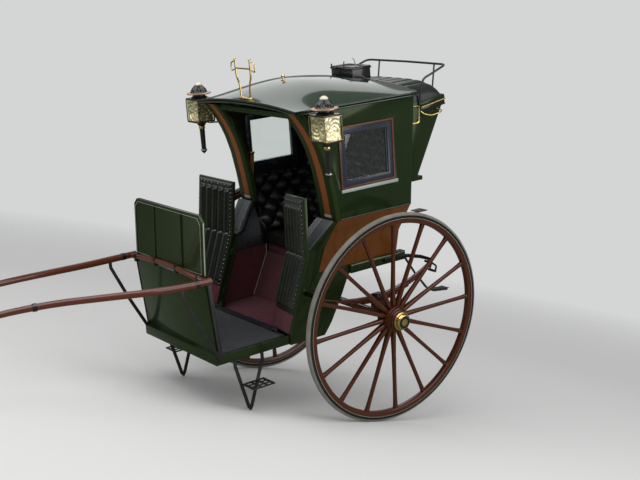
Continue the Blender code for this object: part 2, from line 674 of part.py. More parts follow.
def build_doors(root):
    """Each leaf is modelled closed about its hinge line and then swung open."""
    for name, side in (("left", 1), ("right", -1)):
        swing = Matrix.Rotation(side * DOOR_OPEN, 4, "Z")
        hinge = empty("joint_door_" + name, hinge_place(side) @ swing, root)
        back = 0.004
        bend_z = DOOR_BEND
        fold = DOOR_FOLD
        top_y = back + DOOR_UPPER * math.sin(fold)
        top_z = bend_z + DOOR_UPPER * math.cos(fold)
        thick = DOOR_BOARD

        def layer(z_low, near, far, top_drop):
            """Profile of a layer between two depths behind the outer face."""
            points = []
            for depth, order in ((near, 1), (far, -1)):
                bend = (back + depth, bend_z - depth * math.tan(fold / 2.0))
                top = (top_y + depth * math.cos(fold) - top_drop * math.sin(fold),
                       top_z - depth * math.sin(fold) - top_drop * math.cos(fold))
                row = [(back + depth, z_low), bend, top]
                points += row if order > 0 else row[::-1]
            return points

        near_x = -SWING_GAP
        far_x = -(HINGE_X - 0.004)
        board = Solid().prism(layer(DOOR_FOOT, 0.0, thick, 0.0), lambda z: near_x, lambda z: far_x)
        board.mirrored(side).finish("door_panel_" + name, "green_gloss", hinge)
        g = SEAT_GAP
        pad = Solid().prism(layer(DOOR_FOOT + DOOR_KICK, thick + g, thick + DOOR_PAD, 0.004),
                            lambda z: near_x - 0.004, lambda z: far_x + 0.004)
        pad.bevelled(0.012, segments=2)
        pad.mirrored(side).finish("door_pad_" + name, "black_leather", hinge, smooth=60.0)


def leaned(solid):
    """Lean an upright piece with the front boards: out up to the cross bar, back a little above it."""
    knee = CROSS_BAR_Z
    for v in solid.bm.verts:
        if v.co.z <= knee:
            v.co.y -= DASH_LEAN * max(0.0, v.co.z - FLOOR_BOTTOM_Z) / (knee - FLOOR_BOTTOM_Z)
        else:
            share = (v.co.z - knee) / (DASH_Z[1] - knee)
            v.co.y -= DASH_LEAN + (DASH_TOP_LEAN - DASH_LEAN) * share
    return solid


def build_front(root):
    g = SEAT_GAP
    c = DASH_CHAMFER
    outline = [(-DASH_HALF, DASH_Z[0]), (DASH_HALF, DASH_Z[0]), (DASH_HALF, DASH_Z[1] - c),
               (DASH_HALF - c, DASH_Z[1]), (-DASH_HALF + c, DASH_Z[1]), (-DASH_HALF, DASH_Z[1] - c)]
    rim = 0.016
    inner = [(-DASH_HALF + rim, DASH_Z[0] + rim), (DASH_HALF - rim, DASH_Z[0] + rim),
             (DASH_HALF - rim, DASH_Z[1] - c), (DASH_HALF - c, DASH_Z[1] - rim),
             (-DASH_HALF + c, DASH_Z[1] - rim), (-DASH_HALF + rim, DASH_Z[1] - c)]
    turn = Matrix.Rotation(math.radians(-90.0), 4, "Z")
    frame = Solid().prism(outline, lambda z: -DASH_Y[0], lambda z: -DASH_Y[1], holes=[inner]).moved(turn)
    grown = [(a * 1.004, b) for a, b in inner]
    skin = Solid().prism(grown, lambda z: -DASH_Y[0] - 0.006, lambda z: -DASH_Y[1] + 0.006).moved(turn)
    leaned(frame).finish("dash", "green_gloss", root, joined=[leaned(skin)])

    board_half = TOE_HALF - 0.020
    board = Solid().box((-board_half, board_half), DASH_Y, (TOE_TOP_Z + g, BOARD_Z[1]))
    board.bevelled(0.003)
    leaned(board).finish("front_board", "green_gloss", root)

    bar_half = TOE_HALF + 0.0022
    bar_y = DASH_Y[0] - DASH_LEAN - CROSS_BAR - g
    ridge = [(0.0, 0.0), (0.32, 0.003), (0.65, 0.012), (1.0, 0.026)]
    bar_line = [(-share * bar_half, bar_y, CROSS_BAR_Z - drop) for share, drop in ridge[:0:-1]]
    bar_line += [(share * bar_half, bar_y, CROSS_BAR_Z - drop) for share, drop in ridge]
    bar = Solid().sweep(bar_line, rounded(CROSS_BAR, CROSS_BAR, 0.006))
    bar.finish("cross_bar", "maroon_gloss", root)

    for name, side in (("left", 1), ("right", -1)):
        shaft = Solid().sweep(SHAFT_LINE, circle(SHAFT_HALF_THICK, 12), scale=SHAFT_SCALE)
        shaft.mirrored(side).finish("shaft_" + name, "maroon_gloss", root, smooth=60.0)

    top_z = FLOOR_BOTTOM_Z + 0.006 - g
    foot_y, foot_z = PROP_FOOT
    line = [(PROP_X, PROP_TOPS[0], top_z), (PROP_X, PROP_TOPS[0], top_z - 0.05),
            (PROP_X, foot_y - 0.012, foot_z + 0.030), (PROP_X, foot_y - 0.001, foot_z + 0.0115),
            (PROP_X, foot_y + 0.010, foot_z + 0.030), (PROP_X, PROP_TOPS[1], top_z - 0.05),
            (PROP_X, PROP_TOPS[1], top_z)]
    x0 = PROP_X + 0.001
    xs = [x0 + a for a in (0.0, 0.014, 0.044, 0.054, 0.084, 0.094, 0.124, 0.134)]
    ys = [-1.002, -0.986, -0.945, -0.935, -0.897, -0.887, -0.852, -0.838]

    def opening(x, y):
        return (any(a < x - x0 < a + 0.030 for a in (0.014, 0.054, 0.094))
                and any(a < y < b for a, b in ((-0.986, -0.945), (-0.935, -0.897), (-0.887, -0.852))))

    for name, side in (("left", 1), ("right", -1)):
        reach = TOE_HALF + 0.017
        stay_line = [(TOE_HALF + 0.0045, -1.158, 0.650), (TOE_HALF + 0.010, -1.286, 0.900),
                     (reach, -1.388, 1.130), (reach, -1.388, 1.1624)]
        stay = Solid().sweep(stay_line, rounded(0.0040, 0.011, 0.001), side=(1, 0, 0))
        strap = Solid().box((TOE_HALF + g, TOE_HALF + 0.0055), (-1.163, -1.137), (0.640, 1.158))
        strap = leaned(strap).mirrored(side)
        stay.mirrored(side).finish("shaft_iron_" + name, "black_iron", root, joined=[strap])

        legs = Solid().sweep(line, rounded(0.005, 0.011, 0.001), side=(1, 0, 0)).mirrored(side)
        plate = Solid().grid(xs, ys, lambda x, y: 0.446, lambda x, y: 0.438, opening).mirrored(side)
        legs.finish("prop_step_" + name, "black_iron", root, joined=[plate])


def build_running_gear(root):
    g = SEAT_GAP
    front, rear = SPRING_EYES

    def rise(y):
        far = front if y < 0 else rear
        return SPRING_LOW_Z + (far[1] - SPRING_LOW_Z) * (abs(y) / SPRING_LEAVES[0]) ** 2

    steps = [SPRING_LEAVES[0] * (-1.0 + i / 6.0) for i in range(13)]
    top = [(y, rise(y) + LEAF * 4.0) for y in steps]
    under = []
    for row, reach in enumerate(SPRING_LEAVES):
        under.append((reach, rise(reach) + LEAF * (3.0 - row)))
        if row < len(SPRING_LEAVES) - 1:
            inner_reach = SPRING_LEAVES[row + 1]
            under.append((inner_reach, rise(inner_reach) + LEAF * (3.0 - row)))
    left_under = [(-y, rise(-y) + (z - rise(y))) for y, z in under] + [(-0.070, SPRING_LOW_Z)]
    under.append((0.070, SPRING_LOW_Z))
    outline = top + under + left_under[::-1]
    line_x = HALF_LOWER + RAIL_PROUD
    rail_end = RAIL_Y[1] + 0.003 + g
    step_line = [(line_x - 0.020, rail_end, RAIL_TOP_Z - 0.008),
                 (line_x - 0.020, rail_end, RAIL_BOTTOM_Z + 0.016), (line_x - 0.010, 0.430, 0.870),
                 (line_x, 0.520, 0.745), (line_x, 0.566, 0.716), (line_x, 0.690, 0.700)]
    for name, side in (("left", 1), ("right", -1)):
        spring = Solid().prism(outline, lambda z: SPRING_X + SPRING_HALF, lambda z: SPRING_X - SPRING_HALF)
        spring.mirrored(side).finish("spring_" + name, "maroon_gloss", root, smooth=20.0)
        step = Solid().sweep(step_line, rounded(0.020, 0.005, 0.001), side=(1, 0, 0),
                             scale=[0.6, 0.6, 0.6, 0.7, 1.5, 1.6])
        step.mirrored(side).finish("driver_step_" + name, "black_iron", root)

    ends = []
    for back in (0.165, HUB_BACK + 2.0 * g):
        ends.append((HALF_TRACK - back * math.cos(CAMBER), 0.0, AXLE_Z + back * math.sin(CAMBER)))
    half_line = [(0.500, 0.0, AXLE_Z), *ends]
    axle_line = [(-x, y, z) for x, y, z in reversed(half_line)] + half_line
    seats = [Solid().box((side * (SPRING_X - 0.030), side * (SPRING_X + 0.030)), (-0.040, 0.040),
                         (AXLE_Z - 0.012, SPRING_LOW_Z - g)) for side in (-1, 1)]
    axle = Solid().sweep(axle_line, rounded(0.020, 0.020, 0.005), up=(0, 0, 1))
    axle.finish("axle", "maroon_gloss", root, joined=seats)


def build_wheels(root):
    """Everything on a wheel is modelled about its own axis, outer end along +X."""
    g = SEAT_GAP
    for name, side in (("left", 1), ("right", -1)):
        tilt = Matrix.Rotation(CAMBER, 4, "Y")
        centre = Vector((HALF_TRACK, 0.0, AXLE_Z))
        place = Matrix.Translation(centre) @ tilt
        if side < 0:
            place = Matrix.Rotation(math.pi, 4, "Z") @ place
        hub_joint = empty("joint_wheel_" + name, place, root)
        barrel = [(-HUB_BACK, 0.0), (-HUB_BACK, 0.046), (-0.085, 0.052), (-0.070, 0.066), (-0.040, 0.066),
                  (-0.034, HUB_BARREL), (0.024, HUB_BARREL), (0.030, 0.066), (0.046, 0.066), (0.052, 0.056),
                  (0.074, 0.050), (0.080, 0.044), (0.096, 0.044), (0.100, 0.036), (0.112, 0.032),
                  (0.114, 0.0)]
        foot = HUB_BARREL - 0.006
        head = FELLOE_INNER + 0.010
        rows = ((foot, 0.0200, 0.0100), (foot + 0.040, 0.0185, 0.0130), (foot + 0.200, 0.0125, 0.0110),
                (head - 0.070, 0.0105, 0.0115), (head, 0.0125, 0.0140))
        spokes = Solid()
        for i in range(SPOKES):
            around = Matrix.Rotation(2.0 * math.pi * i / SPOKES, 4, "X")
            verts = []
            for reach, depth, width in rows:
                lean = -DISH * 0.5 + DISH * (reach - foot) / (head - foot)
                for a, b in rounded(depth, width, 0.0045):
                    verts.append(around @ Vector((lean + a, b, reach)))
            faces = [tuple(range(8)), tuple(39 - j for j in range(8))]
            for r in range(4):
                for j in range(8):
                    k = (j + 1) % 8
                    faces.append((r * 8 + j, r * 8 + k, r * 8 + 8 + k, r * 8 + 8 + j))
            spokes.add(verts, faces)

        shift = DISH * 0.5
        w = FELLOE_HALF
        felloe = [(shift - w + 0.006, FELLOE_INNER), (shift + w - 0.006, FELLOE_INNER),
                  (shift + w, FELLOE_INNER + 0.007),
                  (shift + w, FELLOE_OUTER), (shift - w, FELLOE_OUTER), (shift - w, FELLOE_INNER + 0.007)]
        rim = Solid().lathe(felloe, RIM_SIDES)
        Solid().lathe(barrel, 32).finish("wheel_" + name, "maroon_gloss", hub_joint, joined=[spokes, rim])
        t = TYRE_HALF
        tyre = [(shift - w, TYRE_INNER), (shift + w, TYRE_INNER), (shift + w, TYRE_INNER + 0.008),
                (shift + t, TYRE_INNER + 0.009), (shift + t, WHEEL_RADIUS - 0.007),
                (shift + 0.009, WHEEL_RADIUS), (shift - 0.009, WHEEL_RADIUS),
                (shift - t, WHEEL_RADIUS - 0.007), (shift - t, TYRE_INNER + 0.009),
                (shift - w, TYRE_INNER + 0.008)]
        Solid().lathe(tyre, RIM_SIDES).finish("tyre_" + name, "grey_rubber", hub_joint)


def build_driver_seat(root):
    g = SEAT_GAP
    low, high = BOOT_PROFILE_Z[0], BOOT_PROFILE_Z[-1]
    boot = [(rear_at(low) + 2.0 * g, low), *zip(BOOT_PROFILE_Y, BOOT_PROFILE_Z),
            (rear_at(high) + 2.0 * g, high)]
    box = Solid().prism(boot, lambda z: BOOT_HALF, lambda z: -BOOT_HALF)
    ledge = [(rear_at(low - SHELF) + 2.0 * g, low - SHELF), (SHELF_REAR_Y, low - SHELF),
             (SHELF_REAR_Y, low + 0.006), (rear_at(low + 0.006) + 2.0 * g, low + 0.006)]
    shelf = Solid().prism(ledge, lambda z: BOOT_HALF, lambda z: -BOOT_HALF)
    box.finish("driver_box", "green_gloss", root, joined=[shelf])
    cushion = Solid().box((-BOOT_HALF + 0.006, BOOT_HALF - 0.006), CUSHION_Y,
                          (BOOT_PROFILE_Z[2] + g, CUSHION_TOP_Z))
    cushion.bevelled(0.030, segments=3)
    cushion.finish("driver_cushion", "black_leather", root, smooth=60.0)

    x = BOOT_HALF + 0.0075 + g
    line = [(x, 0.583, 1.990), (x, 0.600, 2.090), (x, 0.629, 2.182), (x + 0.004, 0.722, 2.215),
            (x, 0.825, 2.250), (x - 0.030, 0.842, 2.254), (0.0, 0.850, 2.256)]
    full = line + [(-a, b, c) for a, b, c in reversed(line[:-1])]
    posts = [Solid().sweep([(px, 0.8088, 1.990), (px, 0.818, 2.060), (px, 0.849, 2.254)], circle(0.006, 6),
                           up=(1.0, 0.0, 0.0)) for px in (-0.300, 0.300)]
    rail = Solid().sweep(full, circle(0.0075, 8), up=(0.0, 0.4, 1.0))
    rail.finish("seat_rail", "black_iron", root, joined=posts)

    posts = []
    for px in (-0.045, 0.045):
        post = [(px, -0.500, roof_height(px, -0.500, 0.006) + g), (px, -0.500, 2.300), (px, -0.508, 2.430)]
        posts.append(Solid().sweep(post, circle(0.006, 8), up=(1.0, 0.0, 0.0)))
    bar = Solid().sweep([(-0.110, -0.500, 2.400), (-0.100, -0.503, 2.372), (-0.060, -0.506, 2.366),
                         (0.060, -0.506, 2.366), (0.100, -0.503, 2.372), (0.110, -0.500, 2.400)],
                        circle(0.005, 8), up=(0.0, 1.0, 0.2))
    bar.finish("rein_rail", "brass", root, joined=posts)


def build_lamps(root):
    g = SEAT_GAP
    cx, cy = LAMP_CENTRE
    hx, hy = LAMP_HALF
    z0, z1 = LAMP_Z
    top = [(-0.004, 0.0), (-0.004, 0.056), (0.010, 0.058), (0.028, 0.048), (0.044, 0.046), (0.052, 0.052),
           (0.060, 0.048), (0.076, 0.026), (0.088, 0.010), (0.106, 0.008), (0.110, 0.0)]
    top = [(z1 + a, r) for a, r in top]
    tube = [(0.004, 0.0), (0.004, 0.034), (-0.018, 0.030), (-0.030, 0.020), (-0.190, 0.017), (-0.200, 0.022),
            (-0.212, 0.020), (-0.222, 0.008), (-0.226, 0.0)]
    tube = [(z0 + a, r) for a, r in tube]
    where = Matrix.Translation((cx, cy, 0.0)) @ UPRIGHT
    post = 0.010
    arm_z = z0 + 0.006
    for name, side in (("left", 1), ("right", -1)):
        base = Solid().box((cx - hx, cx + hx), (cy - hy, cy + hy), (z0, z0 + 0.012)).mirrored(side)
        pieces = [Solid().box((cx - hx, cx + hx), (cy - hy, cy + hy), (z1 - 0.012, z1))]
        for px in (cx - hx, cx + hx - post):
            for py in (cy - hy, cy + hy - post):
                pieces.append(Solid().box((px, px + post), (py, py + post), (z0 + 0.002, z1 - 0.002)))
        pieces.append(Solid().lathe(top, 14, matrix=where))
        pieces.append(Solid().lathe(tube, 12, matrix=where))
        root_x = HALF_UPPER + PILLAR_PROUD + 2.0 * g
        arm = [(root_x, LAMP_ARM_Y, arm_z), (root_x + 0.028, LAMP_ARM_Y, arm_z), (cx - hx - 0.034, cy, arm_z),
               (cx - hx + 0.006, cy, arm_z)]
        pieces.append(Solid().sweep(arm, circle(0.008, 4)))
        base.finish("lamp_" + name, "black_iron", root, joined=[p.mirrored(side) for p in pieces])
        span = (z0 + 0.012 + g, z1 - 0.012 - g)

        def pane_ring(inset):
            near, far = cx - hx + inset, cx + hx - inset
            return [(cy - hy + inset, -near), (cy + hy - inset, -near), (cy + hy - inset, -far),
                    (cy - hy + inset, -far)]

        glass = Solid().prism(pane_ring(post + g), lambda z: span[0], lambda z: span[1],
                              holes=[pane_ring(post + g + 0.003)])
        glass.moved(UPRIGHT).mirrored(side).finish("lamp_glass_" + name, "clear_glass", root)


def lowest(names):
    bpy.context.view_layer.update()
    level = 1e9
    for item in bpy.data.objects:
        if item.type == "MESH" and item.name.startswith(names):
            level = min(level, min((item.matrix_world @ v.co).z for v in item.data.vertices))
    return level


def settle(root):
    """Pitch the cab about its axle until tyres and prop irons reach the same level."""
    def pose(pitch, lift=0.0, ahead=0.0):
        root.matrix_world = (Matrix.Translation((0.0, ahead, AXLE_Z + lift)) @ Matrix.Rotation(pitch, 4, "X")
                             @ Matrix.Translation((0.0, 0.0, -AXLE_Z)))

    low, high = 0.0, math.radians(30.0)
    for _ in range(30):
        pitch = 0.5 * (low + high)
        pose(pitch)
        if lowest("prop_step_") > lowest("tyre_"):
            low = pitch
        else:
            high = pitch
    lift = -lowest("tyre_")
    pose(pitch, lift)
    bpy.context.view_layer.update()
    ys = [(item.matrix_world @ v.co).y for item in bpy.data.objects if item.type == "MESH"
          for v in item.data.vertices]
    ahead = -0.5 * (min(ys) + max(ys))
    pose(pitch, lift, ahead)
    bpy.context.view_layer.update()


def main():
    clear_scene()
    root = empty("cab_frame", Matrix.Identity(4))
    build_body(root)
    build_interior(root)
    build_footwell(root)
    build_doors(root)
    build_front(root)
    build_running_gear(root)
    build_wheels(root)
    build_driver_seat(root)
    build_lamps(root)
    settle(root)


main()
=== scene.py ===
"""Horse-drawn cab: two tall wheels, a closed body open at the front, and a high rear driver's seat."""
import math
from contextlib import contextmanager

import bpy
from mathutils import Matrix, Vector


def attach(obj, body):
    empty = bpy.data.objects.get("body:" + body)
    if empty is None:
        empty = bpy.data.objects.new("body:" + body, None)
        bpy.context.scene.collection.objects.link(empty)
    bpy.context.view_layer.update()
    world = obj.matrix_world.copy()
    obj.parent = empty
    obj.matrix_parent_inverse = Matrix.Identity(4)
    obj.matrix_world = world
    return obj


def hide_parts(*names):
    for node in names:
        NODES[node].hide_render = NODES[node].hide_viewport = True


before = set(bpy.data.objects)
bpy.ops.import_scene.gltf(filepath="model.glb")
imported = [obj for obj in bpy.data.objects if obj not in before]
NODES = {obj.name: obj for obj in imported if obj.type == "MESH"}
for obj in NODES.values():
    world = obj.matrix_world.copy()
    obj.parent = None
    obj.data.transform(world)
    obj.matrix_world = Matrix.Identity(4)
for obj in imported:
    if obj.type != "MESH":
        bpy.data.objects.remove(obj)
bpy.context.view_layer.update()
SIDES = (("left", 1), ("right", -1))


def mm(*rows):
    """Rows of millimetres as a list of metre tuples."""
    return [tuple(value / 1000.0 for value in row) for row in rows]


# The cab is drawn level, with its axle square to the ground, and then set down as it parks.
PARK_PITCH = math.radians(16.304686)
PARKED = Matrix.Translation((0.0, 1.28717303, 0.02768606)) @ Matrix.Rotation(PARK_PITCH, 4, "X")
UP = Vector((0.0, 0.0, 1.0))

# body, in metres
HALF_LOWER = 0.474
HALF_UPPER = 0.562
TUCK_Z = 1.200
WAIST_Z = 1.385
SIDE_FLARE = 0.4757  # how fast the sides widen from the tuck to the waist
BOARD = 0.026  # thickness at which a side board's inner face begins
WALL_TOP_Z = 2.100
WING_INNER = 0.345
PILLAR_INNER = 0.397
PILLAR_FACE = 0.568
PILLAR_LINE = mm((-274, 1385), (-277, 1445), (-286, 1510), (-298, 1580), (-310, 1650), (-324, 1715),
                 (-342, 1785), (-363, 1850), (-392, 1920), (-430, 1990), (-475, 2060), (-508, 2098))
STRIPE = (0.447, 0.512)
STRIPE_LINE = 0.005
WINDOW_Y = (-0.205, 0.220)
WINDOW_Z = (1.595, 1.973)
HANDLE_X = 0.548

# roof, hatch and rein rail
ROOF_HALF = 0.582
ROOF_Y = (-0.548, 0.438)
ROOF_RIM = WALL_TOP_Z + 0.0303
HATCH_HALF = 0.120
HATCH_Y = (0.270, 0.425)
LID_Z = 2.2683
KNOB_Y = -0.220
REIN_Y = -0.524
REIN_POST = 0.088
REIN_BAR_Y = REIN_Y - 0.005

# doors, along and across their hinge lines
HINGE_X = 0.340
HINGE_FOOT = (-0.668, 0.700)
HINGE_LEAN = math.radians(20.0)
DOOR_OPEN = math.radians(165.0)
DOOR_NEAR = 0.006
DOOR_FAR = 0.336
DOOR_BEND = 0.530
DOOR_UPPER = 0.370
DOOR_FOLD = math.radians(16.0)
DOOR_FLUTES = 5
PAD_FOOT = 0.158
PAD_BACK = 0.0235
PAD_SIDE = 0.016  # flat border beside the rolls
STUD_ROWS = 26

# seat and footwell
BUTTON_PITCH = (0.132, 0.130)
SEAT_HALF = 0.440
CARPET_X = 0.4415
LINING_REAR = -0.190
RISER_RUN = (0.143, 0.300)  # the footwell's rear board, back and up
RISER_LIMIT = -0.1915
WELL_FLOOR_Z = 0.688
BOX_FRONT_Y = -0.155
BOX_FRONT_Z = 0.9885

# front boards and shafts
DASH_HALF = 0.435
DASH_CHAMFER = 0.036
DASH_Z = (1.195, 1.575)
DASH_RIB_X = 0.172
KNEE_Z = 1.208
BOARD_FOOT_Z = 0.617
LEAN_OUT = 0.045
LEAN_BACK = 0.025
SHAFT_RADIUS = 0.022
SHAFT_LINE = mm((488, -1190, 1182), (480, -1350, 1184), (452, -1560, 1192), (395, -1850, 1214),
                (338, -2150, 1234), (300, -2450, 1236), (290, -2700, 1214), (296, -2860, 1188))
SHAFT_SCALE = [1.0, 1.05, 1.05, 1.0, 0.95, 0.88, 0.78, 0.66]

# wheels and springs
WHEEL_X = 0.753
AXLE_Z = 0.710
CAMBER = math.radians(3.7)
SPOKES = 16
SPOKE_SIDES = 12
SPOKE_SQUARENESS = 0.62
HUB_STEPS = (0.0795, 0.0720, 0.0655)
FELLOE_INNER = 0.641
FELLOE_OUTER = 0.683
FELLOE_HALF = 0.021
BOLT_RADIUS = 0.662
WHEEL_RADIUS = 0.710
TYRE_HALF = 0.0165
RIM_SHIFT = 0.008
SPRING_X = 0.600
STEP_X = 0.488

# driver's seat
BOARD_FRONT = (0.603, 1.990)
BOARD_REAR = (0.822, 2.024)
BOARD_EDGE = 0.4275
CUSHION_PLEATS = 8
CUSHION_RISE = 0.132
RAIL_X = 0.4278

# lamps
LAMP_X = 0.745
LAMP_Y = -0.440
LAMP_HALF_X = 0.079
LAMP_HALF_Y = 0.066
LAMP_Z = (1.946, 2.118)
LAMP_POST = 0.005
LAMP_FLUTES = 18.0


def place_of_wheel(side):
    spin = Matrix.Rotation(math.pi, 4, "Z") if side < 0 else Matrix.Identity(4)
    return PARKED @ spin @ Matrix.Translation((WHEEL_X, 0.0, AXLE_Z)) @ Matrix.Rotation(CAMBER, 4, "Y")


def place_of_door(side):
    foot = PARKED @ Matrix.Translation((side * HINGE_X, *HINGE_FOOT)) @ Matrix.Rotation(-HINGE_LEAN, 4, "X")
    return foot @ Matrix.Rotation(side * DOOR_OPEN, 4, "Z")


def mirror_x(side):
    return Matrix.Scale(-1.0, 4, (1.0, 0.0, 0.0)) if side < 0 else Matrix.Identity(4)


# ------------------------------------------------------------------ node groups and finishes

def new_group(name, inputs, outputs):
    group = bpy.data.node_groups.new(name, "ShaderNodeTree")
    for label, kind, value in inputs:
        socket = group.interface.new_socket(label, in_out="INPUT", socket_type=kind)
        if value is not None:
            socket.default_value = value
    for label, kind in outputs:
        group.interface.new_socket(label, in_out="OUTPUT", socket_type=kind)
    return group, group.nodes.new("NodeGroupInput").outputs, group.nodes.new("NodeGroupOutput")


class Sheet:
    """Short ways to add and join nodes in one tree."""

    def __init__(self, tree):
        self.tree = tree

    def add(self, kind, settings=(), **inputs):
        node = self.tree.nodes.new(kind)
        for key, value in dict(settings).items():
            setattr(node, key, value)
        for key, value in inputs.items():
            self.feed(node, key.replace("_", " "), value)
        return node

    def feed(self, node, key, value):
        socket = node.inputs[int(key[1:])] if key[0] == "n" and key[1:].isdigit() else node.inputs[key]
        if isinstance(value, bpy.types.NodeSocket):
            self.tree.links.new(value, socket)
        else:
            socket.default_value = value

    def maths(self, how, a, b=None, c=None, clamp=False):
        node = self.add("ShaderNodeMath", {"operation": how, "use_clamp": clamp}, n0=a)
        if b is not None:
            self.feed(node, "n1", b)
        if c is not None:
            self.feed(node, "n2", c)
        return node.outputs[0]

    def spot(self):
        """The place on the piece itself."""
        return self.add("ShaderNodeTexCoord").outputs["Object"]

    def noise(self, where, scale, detail=3.0, rough=0.5):
        return self.add("ShaderNodeTexNoise", Vector=where, Scale=scale, Detail=detail,
                        Roughness=rough).outputs[0]

    def cells(self, where, scale):
        node = self.add("ShaderNodeTexVoronoi", {"feature": "F1"}, Vector=where)
        self.feed(node, "Scale", scale)
        return node.outputs[0]

    def scaled(self, colour, share):
        node = self.add("ShaderNodeVectorMath", {"operation": "SCALE"}, n0=colour)
        self.feed(node, "Scale", share)
        return node.outputs[0]

    def mix(self, share, a, b):
        node = self.add("ShaderNodeMix", {"data_type": "RGBA"}, n0=share, n6=a, n7=b)
        return node.outputs[2]

    def span(self, value, low, high, to_low=0.0, to_high=1.0):
        node = self.add("ShaderNodeMapRange", n0=value, n1=low, n2=high, n3=to_low, n4=to_high)
        return node.outputs[0]

    def bump(self, height, depth, strength=1.0):
        return self.add("ShaderNodeBump", Height=height, Distance=depth, Strength=strength).outputs[0]


COLOUR = "NodeSocketColor"
VALUE = "NodeSocketFloat"
ARROW = "NodeSocketVector"
SURFACE = [("Colour", COLOUR), ("Roughness", VALUE), ("Normal", ARROW)]


def group_level():
    """The place on the cab as it is drawn level."""
    group, _, out = new_group("level place", [], [("Place", ARROW), ("Side", VALUE)])
    s = Sheet(group)
    spot = s.spot()
    turn = s.add("ShaderNodeMapping", {"vector_type": "TEXTURE"}, Vector=spot,
                 Location=PARKED.to_translation(), Rotation=(PARK_PITCH, 0.0, 0.0))
    s.feed(out, "Place", turn.outputs[0])
    parts = s.add("ShaderNodeSeparateXYZ", n0=turn.outputs[0])
    s.feed(out, "Side", s.maths("ABSOLUTE", parts.outputs[0]))
    return group


def group_band():
    """1 between two values, 0 outside, with a soft edge."""
    group, given, out = new_group("band mask", [("Value", VALUE, 0.0), ("Low", VALUE, 0.0),
                                                ("High", VALUE, 1.0), ("Edge", VALUE, 0.0006)],
                                  [("Mask", VALUE)])
    s = Sheet(group)
    rise = s.maths("DIVIDE", s.maths("SUBTRACT", given["Value"], given["Low"]), given["Edge"],
                   clamp=True)
    fall = s.maths("DIVIDE", s.maths("SUBTRACT", given["High"], given["Value"]),
                   given["Edge"], clamp=True)
    s.feed(out, "Mask", s.maths("MULTIPLY", rise, fall))
    return group


def group_paint():
    """Brushed and rubbed-down coach paint: a little cloud in the colour and the faintest waviness."""
    group, given, out = new_group("coach paint", [("Colour", COLOUR, (0.02, 0.03, 0.02, 1.0)),
                                                  ("Cloud", VALUE, 0.12), ("Rough", VALUE, 0.16)], SURFACE)
    s = Sheet(group)
    spot = s.spot()
    cloud = s.noise(spot, 5.0, 4.0)
    shade = s.span(cloud, 0.3, 0.7, 0.78, 1.22)
    weight = s.maths("ADD", 1.0, s.maths("MULTIPLY", given["Cloud"], s.maths("SUBTRACT", shade, 1.0)))
    s.feed(out, "Colour", s.scaled(given["Colour"], weight))
    smear = s.noise(spot, 9.0, 5.0, 0.6)
    rough = s.maths("MULTIPLY", given["Rough"], s.span(smear, 0.25, 0.8, 0.75, 1.5))
    s.feed(out, "Roughness", rough)
    wave = s.noise(spot, 24.0, 1.0)
    s.feed(out, "Normal", s.bump(wave, 0.0003, 0.10))
    return group


def group_leather():
    """Pebbled leather with soft creases; rubbed crowns are a shade lighter."""
    group, given, out = new_group("hide", [("Colour", COLOUR, (0.012, 0.012, 0.013, 1.0)), ("Grain", VALUE,
                                                                                            420.0),
                                           ("Crease", VALUE, 0.5), ("Rough", VALUE, 0.36)], SURFACE)
    s = Sheet(group)
    spot = s.spot()
    pebble = s.cells(spot, given["Grain"])
    crease = s.noise(spot, 26.0, 6.0, 0.62)
    folds = s.noise(spot, 11.0, 3.0, 0.5)
    deep = s.maths("MULTIPLY", crease, given["Crease"])
    height = s.maths("ADD", s.maths("MULTIPLY", pebble, 0.10), s.maths("MULTIPLY", deep, 1.1))
    height = s.maths("ADD", height, s.maths("MULTIPLY", folds, s.maths("MULTIPLY", given["Crease"], 2.0)))
    s.feed(out, "Normal", s.bump(height, 0.0022, 0.22))
    rub = s.span(s.noise(spot, 7.0, 3.0), 0.35, 0.75, 0.8, 1.5)
    s.feed(out, "Colour", s.scaled(given["Colour"], rub))
    rough = s.maths("MULTIPLY", given["Rough"], s.span(folds, 0.3, 0.7, 0.85, 1.2))
    s.feed(out, "Roughness", rough)
    return group


def group_metal():
    """Polished or oiled metal with faint tarnish."""
    group, given, out = new_group("worked metal", [("Colour", COLOUR, (0.8, 0.6, 0.25, 1.0)),
                                                   ("Tarnish", COLOUR, (0.3, 0.17, 0.06, 1.0)),
                                                   ("Age", VALUE, 0.3), ("Rough", VALUE, 0.2)], SURFACE)
    s = Sheet(group)
    spot = s.spot()
    spots = s.noise(spot, 34.0, 6.0, 0.65)
    share = s.maths("MULTIPLY", s.span(spots, 0.42, 0.72), given["Age"], clamp=True)
    s.feed(out, "Colour", s.mix(share, given["Colour"], given["Tarnish"]))
    rough = s.maths("ADD", given["Rough"], s.maths("MULTIPLY", share, 0.35))
    s.feed(out, "Roughness", rough)
    fine = s.noise(spot, 160.0, 2.0)
    s.feed(out, "Normal", s.bump(fine, 0.0004, 0.3))
    return group


def group_pile():
    """Cut-pile carpet. Each tuft is painted towards the shaded colour at its edges, as painted shade
    between the tufts, and random patches of the pile's lay take the same shaded colour.
    """
    group, given, out = new_group("pile", [("Colour", COLOUR, (0.12, 0.03, 0.04, 1.0)), ("Deep", COLOUR,
                                                                                         (0.04, 0.01, 0.02,
                                                                                          1.0)),
                                           ("Size", VALUE, 900.0)], SURFACE)
    s = Sheet(group)
    spot = s.spot()
    tuft = s.cells(spot, given["Size"])
    lay = s.noise(spot, 13.0, 4.0)
    # the shaded colour grows towards each tuft's edge: painted shade between the tufts
    share = s.maths("ADD", s.maths("MULTIPLY", tuft, 0.5), s.span(lay, 0.3, 0.7, -0.1, 0.4), clamp=True)
    s.feed(out, "Colour", s.mix(share, given["Colour"], given["Deep"]))
    s.feed(out, "Normal", s.bump(s.maths("ADD", tuft, lay), 0.004, 0.8))
    s.feed(out, "Roughness", s.maths("ADD", 0.92, s.maths("MULTIPLY", tuft, 0.08)))
    return group


